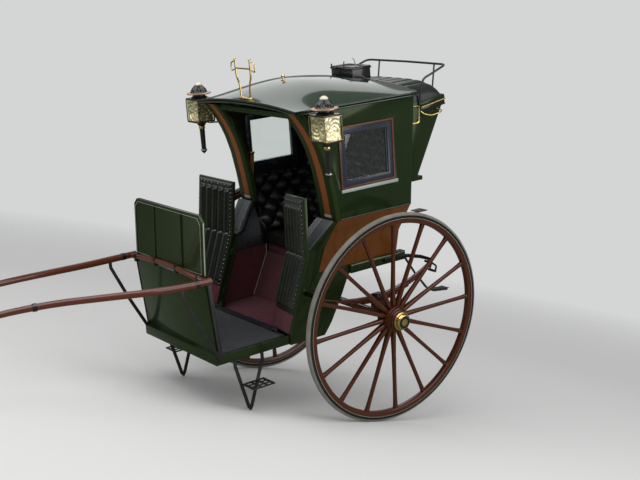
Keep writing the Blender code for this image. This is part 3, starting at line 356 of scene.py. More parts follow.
LEVEL = group_level()
BAND = group_band()
PAINT = group_paint()
HIDE = group_leather()
METAL = group_metal()
PILE = group_pile()


class Finish(Sheet):
    """One material: a Principled surface fed by the groups above."""

    def __init__(self, name, **constants):
        self.material = bpy.data.materials.new(name)
        self.material.use_nodes = True
        super().__init__(self.material.node_tree)
        self.tree.nodes.clear()
        self.shader = self.tree.nodes.new("ShaderNodeBsdfPrincipled")
        end = self.tree.nodes.new("ShaderNodeOutputMaterial")
        self.tree.links.new(self.shader.outputs[0], end.inputs[0])
        for key, value in constants.items():
            self.shader.inputs[key.replace("_", " ")].default_value = value

    def group(self, tree, **inputs):
        node = self.tree.nodes.new("ShaderNodeGroup")
        node.node_tree = tree
        for key, value in inputs.items():
            self.feed(node, key, value)
        return node.outputs

    def band(self, value, low, high, edge=0.0006):
        return self.group(BAND, Value=value, Low=low, High=high, Edge=edge)[0]

    def level(self):
        out = self.group(LEVEL)
        place = self.add("ShaderNodeSeparateXYZ", n0=out["Place"])
        return out["Side"], place.outputs[1], place.outputs[2]

    def dress(self, surface):
        for key, socket in (("Colour", "Base Color"), ("Roughness", "Roughness"), ("Normal", "Normal")):
            self.feed(self.shader, socket, surface[key])
        return self.material


def rgba(*rgb):
    return (*rgb, 1.0)


GREEN = rgba(0.011, 0.021, 0.007)
OLIVE = rgba(0.017, 0.031, 0.008)
ROOF_GREEN = rgba(0.008, 0.026, 0.011)
ORANGE = rgba(0.215, 0.068, 0.016)
BROWN = rgba(0.125, 0.040, 0.008)
MAROON = rgba(0.060, 0.016, 0.007)
BLACK = rgba(0.006, 0.006, 0.006)
LIGHT_LINE = rgba(0.300, 0.300, 0.240)
BRASS = rgba(0.86, 0.62, 0.24)
# the carpet's colour and a shaded copy of it, which the pile mixes in as painted shade
CARPET = rgba(0.125, 0.024, 0.036)
CARPET_SHADE = rgba(0.060, 0.010, 0.016)


def painted(name, colour, rough=0.14, cloud=0.25, coat=0.6, shine=0.5, tint=(1.0, 1.0, 1.0)):
    f = Finish(name, Coat_Weight=coat, Coat_Roughness=0.04, Specular_IOR_Level=shine,
               Specular_Tint=rgba(*tint))
    return f.dress(f.group(PAINT, Colour=colour, Rough=rough, Cloud=cloud))


def hide(name, colour, grain=420.0, crease=0.5, rough=0.36):
    f = Finish(name, Specular_IOR_Level=0.6)
    return f.dress(f.group(HIDE, Colour=colour, Grain=grain, Crease=crease, Rough=rough))


def metal(name, colour, tarnish, age=0.3, rough=0.2, metallic=1.0):
    f = Finish(name, Metallic=metallic)
    return f.dress(f.group(METAL, Colour=colour, Tarnish=tarnish, Age=age, Rough=rough))


def pile(name, colour, deep, size=900.0):
    f = Finish(name, Sheen_Weight=0.08, Sheen_Roughness=0.5, Specular_IOR_Level=0.15)
    return f.dress(f.group(PILE, Colour=colour, Deep=deep, Size=size))


def boarded_carpet():
    """Wine carpet on the faces towards the passengers' feet, dark paint on the faces outside."""
    f = Finish("boarded carpet", Sheen_Weight=0.08, Sheen_Roughness=0.5, Specular_IOR_Level=0.15)
    _, along, height = f.level()
    slope = f.maths("SUBTRACT", f.maths("MULTIPLY", along, RISER_RUN[1]), f.maths("MULTIPLY", height,
                                                                                  RISER_RUN[0]))
    well = f.maths("MULTIPLY", f.maths("LESS_THAN", slope, RISER_LIMIT), f.maths("GREATER_THAN", height,
                                                                                 WELL_FLOOR_Z))
    box_front = f.maths("MULTIPLY", f.maths("LESS_THAN", along, BOX_FRONT_Y),
                        f.maths("GREATER_THAN", height, BOX_FRONT_Z))
    inside = f.maths("MAXIMUM", well, box_front)
    surface = f.group(PILE, Colour=CARPET, Deep=CARPET_SHADE, Size=900.0)
    f.dress(surface)
    f.feed(f.shader, "Base Color", f.mix(inside, OLIVE, surface["Colour"]))
    return f.material


def side_paint(name, colour, coat, tint):
    """Body paint outside; where a side board faces inwards above the seat it is lined in black cloth."""
    f = Finish(name, Coat_Weight=coat, Coat_Roughness=0.04, Specular_IOR_Level=0.32,
               Specular_Tint=rgba(*tint))
    side, along, height = f.level()
    lean = f.maths("ADD", HALF_LOWER, f.maths("MULTIPLY", f.maths("SUBTRACT", height, TUCK_Z), SIDE_FLARE))
    edge = f.maths("MINIMUM", HALF_UPPER, f.maths("MAXIMUM", HALF_LOWER, lean))
    inside = f.maths("LESS_THAN", side, f.maths("SUBTRACT", edge, BOARD))
    here = f.maths("MULTIPLY", inside, f.maths("GREATER_THAN", along, -0.480))
    here = f.maths("MULTIPLY", here, f.maths("GREATER_THAN", height, 1.052))
    # the back panel's middle line, above and below the waist
    upper_back = f.maths("MULTIPLY_ADD", height, 0.0951, 0.2123)
    lower_back = f.maths("MULTIPLY_ADD", height, 0.2328, 0.0216)
    here = f.maths("MULTIPLY", here, f.maths("LESS_THAN", along, f.maths("MINIMUM", upper_back,
                                                                         lower_back)))
    tone = f.mix(here, colour, rgba(0.006, 0.006, 0.0065))
    surface = f.group(PAINT, Colour=tone, Rough=0.13, Cloud=0.10)
    f.dress(surface)
    dull = f.maths("ADD", surface["Roughness"], f.maths("MULTIPLY", here, 0.35))
    f.feed(f.shader, "Roughness", dull)
    return f.material


def pillar_paint():
    """Green board with a wide orange-brown stripe between fine black lines, ended by a light tip."""
    f = Finish("lined pillar", Coat_Weight=0.0, Coat_Roughness=0.1, Specular_IOR_Level=0.14,
               Specular_Tint=rgba(0.9, 1.0, 0.7))
    side, _, height = f.level()
    lined = f.band(side, STRIPE[0] - STRIPE_LINE, STRIPE[1] + STRIPE_LINE)
    tone = f.mix(lined, OLIVE, BLACK)
    tone = f.mix(f.band(side, *STRIPE), tone, ORANGE)
    tip = f.maths("MULTIPLY", lined, f.band(height, 1.400, 1.420, 0.001))
    tone = f.mix(tip, tone, rgba(0.42, 0.42, 0.38))
    below = f.band(height, 1.0, 1.400, 0.001)
    tone = f.mix(below, tone, OLIVE)
    return f.dress(f.group(PAINT, Colour=tone, Rough=0.3, Cloud=0.2))


def rail_paint():
    """Green rail whose curved hanger iron is black."""
    f = Finish("rail green and iron", Coat_Weight=0.15, Coat_Roughness=0.06, Specular_IOR_Level=0.32,
               Specular_Tint=rgba(0.80, 1.0, 0.55))
    side, along, _ = f.level()
    iron = f.maths("MAXIMUM", f.maths("GREATER_THAN", side, 0.4895), f.maths("GREATER_THAN", along, 0.3465))
    tone = f.mix(iron, GREEN, BLACK)
    return f.dress(f.group(PAINT, Colour=tone, Rough=0.18, Cloud=0.25))


def wheel_paint():
    """Maroon with a fine light line on each side of the felloe and black inner felloe edge."""
    f = Finish("lined wheel", Coat_Weight=0.3, Coat_Roughness=0.06, Specular_IOR_Level=0.35,
               Specular_Tint=rgba(1.0, 0.8, 0.75))
    reach = f.add("ShaderNodeUVMap", {"uv_map": "reach"}).outputs[0]
    radius = f.add("ShaderNodeSeparateXYZ", n0=reach).outputs[0]
    tone = f.mix(f.band(radius, 0.6720, 0.6900, 0.0006), MAROON, BLACK)
    tone = f.mix(f.band(radius, 0.6740, 0.6765, 0.0006), tone, rgba(0.42, 0.38, 0.30))
    for edge in HUB_STEPS:
        tone = f.mix(f.band(radius, edge - 0.0016, edge, 0.0004), tone, BLACK)
    return f.dress(f.group(PAINT, Colour=tone, Rough=0.17, Cloud=0.35))


def clear_glass(name, tint=(0.86, 0.93, 0.90)):
    f = Finish(name, Roughness=0.0, IOR=1.45, Transmission_Weight=1.0)
    spot = f.spot()
    haze = f.span(f.noise(spot, 6.0), 0.3, 0.7, 0.94, 1.0)
    f.feed(f.shader, "Base Color", f.scaled(tint, haze))
    return f.material


FINISHES = {
    "green": side_paint("coach green", GREEN, 0.15, (0.80, 1.0, 0.55)),
    "roof": painted("roof green", ROOF_GREEN, rough=0.10, cloud=0.2, coat=0.9),
    "brown": side_paint("lacquered brown", BROWN, 0.30, (1.0, 0.85, 0.6)),
    "maroon": painted("dark maroon", MAROON, rough=0.18, coat=0.3, shine=0.35, tint=(1.0, 0.8, 0.75)),
    # the shafts and cross bar take the wheels' maroon made lighter: a painted reflection of the sky
    "shaft": painted("red brown shaft", rgba(0.088, 0.022, 0.012), rough=0.15, coat=0.4, shine=0.4),
    "rail": rail_paint(),
    "moulding": painted("maroon moulding", rgba(0.110, 0.030, 0.016), rough=0.25, coat=0.2),
    "navy": painted("navy sash", rgba(0.019, 0.023, 0.038), rough=0.24, coat=0.3),
    "sill": painted("light sill", rgba(0.30, 0.34, 0.31), rough=0.3, coat=0.3),
    "edge": painted("dull edge line", rgba(0.110, 0.118, 0.105), rough=0.4, coat=0.1),
    "strip": painted("draught strip", rgba(0.200, 0.215, 0.225), rough=0.35, coat=0.2),
    "light": painted("light line", LIGHT_LINE, rough=0.3, coat=0.2),
    "black": painted("black enamel", BLACK, rough=0.2, coat=0.5),
    "pillar": pillar_paint(),
    "wheel": wheel_paint(),
    # black hide with a faint olive tint in its colour: a painted reflection of green surroundings
    "leather": hide("black hide with painted olive reflection", rgba(0.0120, 0.0138, 0.0108), crease=0.25, rough=0.25),
    "cream": painted("cream finial", rgba(0.62, 0.57, 0.44), rough=0.25, coat=0.4),
    # the elbow caps and knee lining are black hide lightened to blue grey: a painted reflection of the sky
    "wing": hide("black wing leather with painted sky reflection", rgba(0.070, 0.078, 0.085), crease=0.30, rough=0.30),
    # the driver's black hide is tinted a lighter blue grey: a painted sheen
    "driver leather": hide("driver's hide with painted sheen", rgba(0.0150, 0.0165, 0.0175), crease=0.25, rough=0.26),
    "buttoned": hide("buttoned hide", rgba(0.0090, 0.0090, 0.0095), crease=0.12, rough=0.34),
    "strap": hide("tan strap", rgba(0.300, 0.120, 0.025), grain=700.0, crease=0.2, rough=0.5),
    "brass": metal("polished brass", BRASS, rgba(0.42, 0.24, 0.07), age=0.3, rough=0.16),
    "gilt": metal("gilt reflector", rgba(0.93, 0.82, 0.52), rgba(0.75, 0.58, 0.28), age=0.5, rough=0.26),
    "copper": metal("copper ring", rgba(0.80, 0.52, 0.36), rgba(0.45, 0.22, 0.12), age=0.25, rough=0.36),
    "silver": metal("plated metal", rgba(0.80, 0.80, 0.76), rgba(0.4, 0.38, 0.3), age=0.2, rough=0.18),
    "iron": metal("black iron", rgba(0.010, 0.010, 0.011), rgba(0.030, 0.024, 0.018), age=0.5, rough=0.36,
                  metallic=0.0),
    "carpet": pile("mauve carpet", CARPET, CARPET_SHADE),
    "boarded carpet": boarded_carpet(),
    # the mat and the tyre each take a lighter and a shaded copy of their colour, mixed by the pile as
    # painted shade between its cells
    "mat": pile("grey mat", rgba(0.046, 0.050, 0.056), rgba(0.020, 0.021, 0.024), size=420.0),
    "tyre": pile("grey rubber", rgba(0.225, 0.215, 0.190), rgba(0.120, 0.112, 0.095), size=260.0),
    "glass": clear_glass("window glass"),
    "lamp glass": clear_glass("lamp glass", (0.97, 0.98, 0.95)),
}


# ------------------------------------------------------------------ ways of making pieces

def only(obj):
    bpy.ops.object.select_all(action="DESELECT")
    obj.select_set(True)
    bpy.context.view_layer.objects.active = obj


@contextmanager
def editing(obj):
    """Edit mode with the whole mesh selected, for the mesh tools inside."""
    only(obj)
    bpy.ops.object.mode_set(mode="EDIT")
    bpy.ops.mesh.select_all(action="SELECT")
    yield
    bpy.ops.object.mode_set(mode="OBJECT")


def settle(obj, name, finish, body="cab", place=PARKED, angle=35.0, replaces=(), slot=None):
    """Put the place into the mesh, smooth it, paint it and tie it to its body."""
    obj.name = name.replace(" ", "_")
    obj.data.transform(obj.matrix_world)
    obj.matrix_world = Matrix.Identity(4)
    obj.data.transform(place)
    obj.data.update()
    with editing(obj):
        bpy.ops.mesh.normals_make_consistent(inside=False)
    bpy.ops.object.shade_smooth_by_angle(angle=math.radians(angle))
    obj.data.materials.clear()
    obj.data.materials.append(FINISHES[finish])
    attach(obj, body)
    if replaces:
        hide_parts(*replaces)
    return obj


def use(obj, kind, name, **settings):
    """Add a modifier and apply it."""
    only(obj)
    extra = obj.modifiers.new(name, kind)
    for key, value in settings.items():
        setattr(extra, key, value)
    bpy.ops.object.modifier_apply(modifier=extra.name)
    return obj


def linked(name, data):
    obj = bpy.data.objects.new(name, data)
    bpy.context.scene.collection.objects.link(obj)
    return obj


def take_mesh(name, verts, faces):
    mesh = bpy.data.meshes.new(name)
    mesh.from_pydata([tuple(v) for v in verts], [], faces)
    return linked(name, mesh)


def meshed(curve_obj):
    only(curve_obj)
    bpy.ops.object.convert(target="MESH")
    return curve_obj


def grid(columns, rows, size=1.0):
    """Flat square of fine faces, to be bent by moving its points."""
    bpy.ops.mesh.primitive_grid_add(x_subdivisions=columns, y_subdivisions=rows, size=size)
    return bpy.context.object


def block(low, high, bevel=0.002, segments=2):
    """Box between two corners with rounded edges."""
    middle = [(a + b) / 2.0 for a, b in zip(low, high)]
    bpy.ops.mesh.primitive_cube_add(size=1.0, location=middle)
    obj = bpy.context.object
    obj.scale = [b - a for a, b in zip(low, high)]
    bpy.ops.object.transform_apply(location=True, rotation=False, scale=True)
    if bevel:
        use(obj, "BEVEL", "round", width=bevel, segments=segments)
    return obj


def line_of(points, closed=False):
    curve = bpy.data.curves.new("line", "CURVE")
    curve.dimensions = "3D"
    spline = curve.splines.new("POLY")
    spline.points.add(len(points) - 1)
    for spot, p in zip(spline.points, points):
        spot.co = (*p, 1.0)
    spline.use_cyclic_u = closed
    return linked("line", curve)


def rounded_path(points, radius=0.02, steps=4):
    """Path with its corners rounded off."""
    path = [Vector(points[0])]
    for before, here, after in zip(points, points[1:], points[2:]):
        a, b, c = Vector(before), Vector(here), Vector(after)
        r = min(radius, (a - b).length * 0.45, (c - b).length * 0.45)
        start = b + (a - b).normalized() * r
        end = b + (c - b).normalized() * r
        for i in range(steps + 1):
            t = i / steps
            path.append(start * (1 - t) ** 2 + b * 2 * t * (1 - t) + end * t ** 2)
    path.append(Vector(points[-1]))
    return path


def rod(points, radius, closed=False):
    """Round bar along a path."""
    obj = line_of(points, closed)
    obj.data.bevel_depth = radius
    obj.data.bevel_resolution = 3
    obj.data.use_fill_caps = not closed
    return meshed(obj)


def bent(points, corner, radius):
    """Round bar along a path whose corners are rounded."""
    return rod(rounded_path(points, corner), radius)


def strap_of(points, half_wide, half_thick, side=(1.0, 0.0, 0.0)):
    """Flat bar along a path, its broad way along side."""
    wide = Vector(side).normalized()
    verts = []
    points = [Vector(p) for p in points]
    for i, p in enumerate(points):
        way = (points[min(i + 1, len(points) - 1)] - points[max(i - 1, 0)]).normalized()
        deep = way.cross(wide).normalized()
        for a, b in ((-1, -1), (1, -1), (1, 1), (-1, 1)):
            verts.append(p + wide * (a * half_wide) + deep * (b * half_thick))
    faces = [(3, 2, 1, 0), tuple(len(verts) - 4 + k for k in range(4))]
    for i in range(len(points) - 1):
        for k in range(4):
            n = (k + 1) % 4
            faces.append((i * 4 + k, i * 4 + n, i * 4 + 4 + n, i * 4 + 4 + k))
    obj = take_mesh("bar", verts, faces)
    return use(obj, "BEVEL", "round", width=min(half_wide, half_thick) * 0.5, segments=2,
               limit_method="ANGLE")


def turned(profile, sides=48, axis="Z"):
    """Profile of (along, radius) pairs spun about an axis."""
    obj = meshed(line_of([(r, 0.0, a) for a, r in profile]))
    use(obj, "SCREW", "spin", angle=math.tau, steps=sides, render_steps=sides, axis="Z",
        use_merge_vertices=True, merge_threshold=1e-5)
    with editing(obj):
        bpy.ops.mesh.remove_doubles(threshold=1e-5)
        bpy.ops.mesh.normals_make_consistent(inside=False)
    if axis == "X":
        obj.data.transform(Matrix.Rotation(math.radians(90.0), 4, "Y"))
    elif axis == "Y":
        obj.data.transform(Matrix.Rotation(math.radians(-90.0), 4, "X"))
    return obj


def plate(loops, depth, bevel=0.001):
    """Flat outline in local X and Y, with holes, made solid and its edges rounded; it stands on z = 0."""
    curve = bpy.data.curves.new("outline", "CURVE")
    curve.dimensions = "2D"
    curve.fill_mode = "BOTH"
    for loop in loops:
        spline = curve.splines.new("POLY")
        spline.points.add(len(loop) - 1)
        for spot, (a, b) in zip(spline.points, loop):
            spot.co = (a, b, 0.0, 1.0)
        spline.use_cyclic_u = True
    curve.extrude = max(depth / 2.0 - bevel, 0.0)
    curve.bevel_depth = bevel
    curve.bevel_resolution = 1
    curve.offset = -bevel
    return shift(meshed(linked("outline", curve)), 0.0, 0.0, depth / 2.0)


SIDE_FACING = Matrix(((0.0, 0.0, 1.0, 0.0), (1.0, 0.0, 0.0, 0.0), (0.0, 1.0, 0.0, 0.0),
                      (0.0, 0.0, 0.0, 1.0)))
FRONT_FACING = Matrix(((1.0, 0.0, 0.0, 0.0), (0.0, 0.0, -1.0, 0.0), (0.0, 1.0, 0.0, 0.0),
                       (0.0, 0.0, 0.0, 1.0)))


def join(objs):
    bpy.ops.object.select_all(action="DESELECT")
    for o in objs:
        o.select_set(True)
    bpy.context.view_layer.objects.active = objs[0]
    bpy.ops.object.join()
    return bpy.context.object


def copy_of(obj, matrix):
    twin = obj.copy()
    twin.data = obj.data.copy()
    bpy.context.scene.collection.objects.link(twin)
    twin.data.transform(matrix)
    return twin


def moved(obj, matrix):
    obj.data.transform(matrix)
    return obj


def shift(obj, x, y, z):
    return moved(obj, Matrix.Translation((x, y, z)))


def pair(obj, name, finish, **how):
    """Settle a left piece and its mirror image on the right."""
    twin = copy_of(obj, mirror_x(-1))
    return [settle(obj, name + " left", finish, **how), settle(twin, name + " right", finish, **how)]


def refined(node, finish, slot, bevel=0.0018, body="cab"):
    """The drawn piece again, merged, with its edges softly rounded."""
    source = NODES[node]
    obj = source.copy()
    obj.data = source.data.copy()
    obj.parent = None
    for key in list(obj.keys()):
        del obj[key]
    bpy.context.scene.collection.objects.link(obj)
    only(obj)
    if obj.data.has_custom_normals:
        bpy.ops.mesh.customdata_custom_splitnormals_clear()
    with editing(obj):
        bpy.ops.mesh.remove_doubles(threshold=0.00008)
        bpy.ops.mesh.dissolve_limited(angle_limit=math.radians(1.5))
    if bevel:
        use(obj, "BEVEL", "round", width=bevel, segments=2, limit_method="ANGLE",
            angle_limit=math.radians(28.0), use_clamp_overlap=True)
    return settle(obj, node + "_finished", finish, body=body, place=Matrix.Identity(4), angle=32.0,
                  replaces=(node,), slot=slot)


def heads(spots, radius=0.006, rise=0.003, way=(1.0, 0.0, 0.0)):
    """Low domed bolt heads at a list of places, facing one way."""
    profile = [(0.0, radius), (rise * 0.35, radius), (rise * 0.8, radius * 0.75), (rise, radius * 0.35),
               (rise, 0.0)]
    first = turned(profile, 12)
    turn = Vector((0.0, 0.0, 1.0)).rotation_difference(Vector(way)).to_matrix().to_4x4()
    made = [copy_of(first, Matrix.Translation(p) @ turn) for p in spots]
    bpy.data.objects.remove(first)
    return join(made)


def flare(z):
    """0 up to the tuck, 1 from the waist upwards."""
    return min(1.0, max(0.0, (z - TUCK_Z) / (WAIST_Z - TUCK_Z)))


def half_at(z):
    return HALF_LOWER + (HALF_UPPER - HALF_LOWER) * flare(z)


def pillar_y(z):
    for (y0, z0), (y1, z1) in zip(PILLAR_LINE, PILLAR_LINE[1:]):
        if z <= z1:
            share = max(0.0, (z - z0) / (z1 - z0))
            return y0 + (y1 - y0) * share
    return PILLAR_LINE[-1][0]


def ring(y, z, inset):
    return [(y[0] + inset, z[0] + inset), (y[1] - inset, z[0] + inset), (y[1] - inset, z[1] - inset),
            (y[0] + inset, z[1] - inset)]


# ------------------------------------------------------------------ body

def build_body():
    for word, _ in SIDES:
        refined("body_side_" + word, "green", "green_gloss")
        refined("window_frame_" + word, "navy", "navy_sash", bevel=0.003)
        refined("window_glass_" + word, "glass", "clear_glass", bevel=0.0)
        refined("lower_panel_" + word, "brown", "brown_lined")
        refined("bearer_rail_" + word, "rail", "green_gloss", bevel=0.003)
        refined("footwell_side_" + word, "green", "green_gloss", bevel=0.0015)
        refined("elbow_cap_" + word, "wing", "black_leather", bevel=0.003)
    refined("front_frame", "pillar", "green_gloss", bevel=0.003)
    refined("back_panel", "green", "green_gloss")

    face = HALF_UPPER

    grown = (WINDOW_Y[0] - 0.012, WINDOW_Y[1] + 0.014), (WINDOW_Z[0] - 0.012, WINDOW_Z[1] + 0.012)
    obj = plate([ring(*grown, 0.0), ring(WINDOW_Y, WINDOW_Z, 0.0)], 0.009, 0.003)
    pair(moved(obj, Matrix.Translation((face, 0.0, 0.0)) @ SIDE_FACING), "window moulding", "moulding")

    obj = plate([ring(WINDOW_Y, WINDOW_Z, 0.0245), ring(WINDOW_Y, WINDOW_Z, 0.0275)], 0.002, 0.0006)
    pair(moved(obj, Matrix.Translation((face + 0.0038, 0.0, 0.0)) @ SIDE_FACING), "sash line", "navy")

    sill = block((face, WINDOW_Y[0] - 0.014, WINDOW_Z[0] - 0.037),
                 (face + 0.013, WINDOW_Y[1] + 0.030, WINDOW_Z[0] - 0.015), 0.004)
    pair(sill, "window sill", "sill")

    waist_bead = rod([(face + 0.001, pillar_y(WAIST_Z) + 0.036, WAIST_Z + 0.004), (face + 0.001, 0.356,
                                                                                   WAIST_Z + 0.004)],
                     0.0042)
    pair(waist_bead, "waist bead", "black")

    x = HALF_LOWER + 0.0148
    rail_line = strap_of([(x, -0.118, 1.043), (x, 0.339, 1.043)], 0.0016, 0.0010, (0.0, 0.0, 1.0))
    pair(rail_line, "rail line", "light")

    # grab handle behind the window, and its small stand-offs
    x = HANDLE_X
    bar = bent([(x, 0.417, 2.030), (x, 0.480, 2.026), (x, 0.472, 1.914), (x, 0.407, 1.916)], 0.016, 0.0056)
    feet = [shift(turned(mm((0, 11), (3, 11), (6, 7), (6, 0)), 20, "Y"), x, y, z) for y,
            z in mm((418, 2030), (408, 1916))]
    pair(join([bar, *feet]), "grab handle", "brass")

    # dull line on the wing's outer edge, and light draught strips inside it
    path = [(half_at(z) - 0.001, y - 0.006, z + 0.007) for y, z in
            mm((-292, 1382), (-345, 1326), (-398, 1264), (-440, 1208))]
    pair(rod(path, 0.0022), "wing edge line", "edge")

    made = []
    for i in range(3):
        path = []
        for y, z in mm((-296, 1378), (-345, 1326), (-398, 1263), (-438, 1209)):
            inner = WING_INNER + (PILLAR_INNER - WING_INNER) * flare(z)
            path.append((inner + 0.008 + 0.022 * i, y - 0.0125, z + 0.0130))
        made.append(strap_of(path, 0.0060, 0.0024, (1.0, 0.0, 0.0)))
    pair(join(made), "draught strips", "strip")

    body = block((0.428, -0.428, 1.178), (0.446, -0.410, 1.194), 0.003)
    knob = shift(turned(mm((0, 5), (6, 5), (10, 7), (13, 4), (13, 0)), 16, "X"), 0.446, -0.419, 1.186)
    pair(join([body, knob]), "door catch", "silver")


# ------------------------------------------------------------------ roof

def roof_top(x, y):
    across = 1.0 - min(1.0, abs(x) / ROOF_HALF) ** 2.2
    run = (y - ROOF_Y[0]) / (ROOF_Y[1] - ROOF_Y[0])
    front = 1.0 - max(0.0, 1.0 - run / 0.50) ** 2.2
    rear = 1.0 - 0.75 * max(0.0, (run - 0.35) / 0.65) ** 2.0
    return ROOF_RIM + across * (0.034 + 0.101 * front * rear)


def build_roof():
    middle = (ROOF_Y[0] + ROOF_Y[1]) / 2.0
    dome = grid(64, 56)
    dome.data.transform(Matrix.Translation((0.0, middle, 0.0))
                        @ Matrix.Diagonal((2.0 * ROOF_HALF, ROOF_Y[1] - ROOF_Y[0], 1.0, 1.0)))
    for v in dome.data.vertices:
        v.co.z = roof_top(v.co.x, v.co.y) - 0.0005
    only(dome)
    bpy.ops.object.mode_set(mode="EDIT")
    bpy.ops.mesh.select_all(action="DESELECT")
    bpy.ops.object.mode_set(mode="OBJECT")
    for face in dome.data.polygons:
        c = face.center
        if abs(c.x) < HATCH_HALF - 0.022 and HATCH_Y[0] + 0.022 < c.y < HATCH_Y[1] - 0.038:
            face.select = True
    bpy.ops.object.mode_set(mode="EDIT")
    bpy.ops.mesh.delete(type="FACE")
    bpy.ops.object.mode_set(mode="OBJECT")
    use(dome, "SOLIDIFY", "board", thickness=0.024, offset=-1.0)
    settle(dome, "roof dome", "roof", angle=50.0, replaces=("roof",), slot="green_gloss")

    # rounded rim all round, hanging a little below the boards
    corners = [(-ROOF_HALF, ROOF_Y[0]), (ROOF_HALF, ROOF_Y[0]), (ROOF_HALF, ROOF_Y[1]),
               (-ROOF_HALF, ROOF_Y[1])]
    edge = []
    steps = 20
    for (x0, y0), (x1, y1) in zip(corners, corners[1:] + corners[:1]):
        for i in range(steps):
            x, y = x0 + (x1 - x0) * i / steps, y0 + (y1 - y0) * i / steps
            edge.append((x, y, roof_top(x, y)))
    nose = rod([(x * 1.002, y, z - 0.006) for x, y, z in edge], 0.0075, closed=True)
    settle(nose, "roof edge bead", "black")
    skirt = rod([(x, y, z - 0.022) for x, y, z in edge], 0.0055, closed=True)
    settle(skirt, "roof lower bead", "roof")

    refined("hatch_coaming", "black", "black_iron", bevel=0.002)
    refined("roof_hatch", "black", "black_iron", bevel=0.003, body="hatch")
    lid = (-HATCH_HALF, HATCH_HALF), (HATCH_Y[0] + 0.004, HATCH_Y[1] + 0.004)
    frame_ring = plate([ring(*lid, 0.0), ring(*lid, 0.022)], 0.005, 0.0015)
    settle(shift(frame_ring, 0.0, 0.0, LID_Z + 0.0135), "hatch border", "black", body="hatch")
    for x in (-0.075, 0.075):
        knuckle = shift(turned(mm((-22, 0), (-22, 5), (22, 5),
                                  (22, 0)), 16, "X"), x, HATCH_Y[0] - 0.0085, LID_Z + 0.004)
        settle(knuckle, "hatch hinge %d" % (1 if x < 0 else 2), "black")
    hook = bent(mm((-66, 238, 2232), (-66, 234, 2292), (-58, 226, 2308), (-44, 222, 2306)), 0.010, 0.0042)
    settle(hook, "roof hook", "black")
    lid_hook = bent([(-0.052, 0.330, LID_Z + 0.010), (-0.052, 0.330, LID_Z + 0.030), (-0.036, 0.322, LID_Z
                                                                                      + 0.046)], 0.008,
                    0.0038)
    settle(lid_hook, "hatch hook", "black", body="hatch")
    pull = bent([(0.052, 0.352, LID_Z + 0.010), (0.052, 0.346, LID_Z + 0.052), (0.040, 0.340, LID_Z
                                                                                + 0.072)], 0.012, 0.0044)
    settle(pull, "hatch pull", "sill", body="hatch")
    knob = turned(mm((0, 0), (0, 16), (4, 16), (7, 7), (16, 6), (22, 12), (30, 13), (36, 8), (38, 0)), 32)
    settle(shift(knob, 0.0, KNOB_Y, roof_top(0.0, KNOB_Y) - 0.002), "roof knob", "brass")

    # rein rail: two posts flaring from one sole, a bar between them and a loop at each end
    bars = []
    foot = roof_top(0.0, REIN_Y)
    for side in (-1, 1):
        path = rounded_path([(side * 0.030, REIN_Y, foot + 0.004), (side * 0.052, REIN_Y, foot + 0.006),
                             (side * 0.060, REIN_Y, foot + 0.090), (side * 0.086, REIN_Y - 0.003, foot
                                                                    + 0.140), (side * REIN_POST, REIN_Y
                                                                               - 0.006, 2.428)], 0.018)
        bars.append(rod(path, 0.0058))
        bars.append(shift(turned(mm((0, 0), (1, 6), (6, 8.5), (11, 6),
                                    (12, 0)), 20), side * REIN_POST, REIN_Y - 0.006, 2.424))
        loop = rounded_path([(side * REIN_POST, REIN_Y - 0.006, 2.416), (side * 0.138, REIN_Y - 0.004,
                                                                         2.402), (side * 0.140, REIN_Y
                                                                                  - 0.004, 2.348),
                             (side * REIN_POST, REIN_BAR_Y, 2.362)], 0.012)
        bars.append(rod(loop, 0.0042))
    bars.append(rod([(-REIN_POST, REIN_BAR_Y, 2.368), (REIN_POST, REIN_BAR_Y, 2.368)], 0.0050))
    bars.append(block((-0.064, REIN_Y - 0.014, foot - 0.004), (0.064, REIN_Y + 0.014, foot + 0.004),
                      0.0025))
    settle(join(bars), "rein rail bars", "brass", replaces=("rein_rail",), slot="brass")


# ------------------------------------------------------------------ doors

def door_skin(x, s, depth):
    """Point on a door: x across, s up the leaf, depth behind the outer face."""
    turn = 0.0
    y, z = 0.004, s
    if s > DOOR_BEND:
        over = s - DOOR_BEND
        blend = min(1.0, over / 0.040)
        turn = DOOR_FOLD * blend
        y += over * math.sin(DOOR_FOLD) * (0.5 + 0.5 * blend)
        z = DOOR_BEND + over * math.cos(DOOR_FOLD)
    return Vector((x, y + depth * math.cos(turn), z - depth * math.sin(turn)))


def flute(share, count):
    """Height of upright rolls across a pad, 0 to 1."""
    return abs(math.sin(math.pi * count * share)) ** 0.72


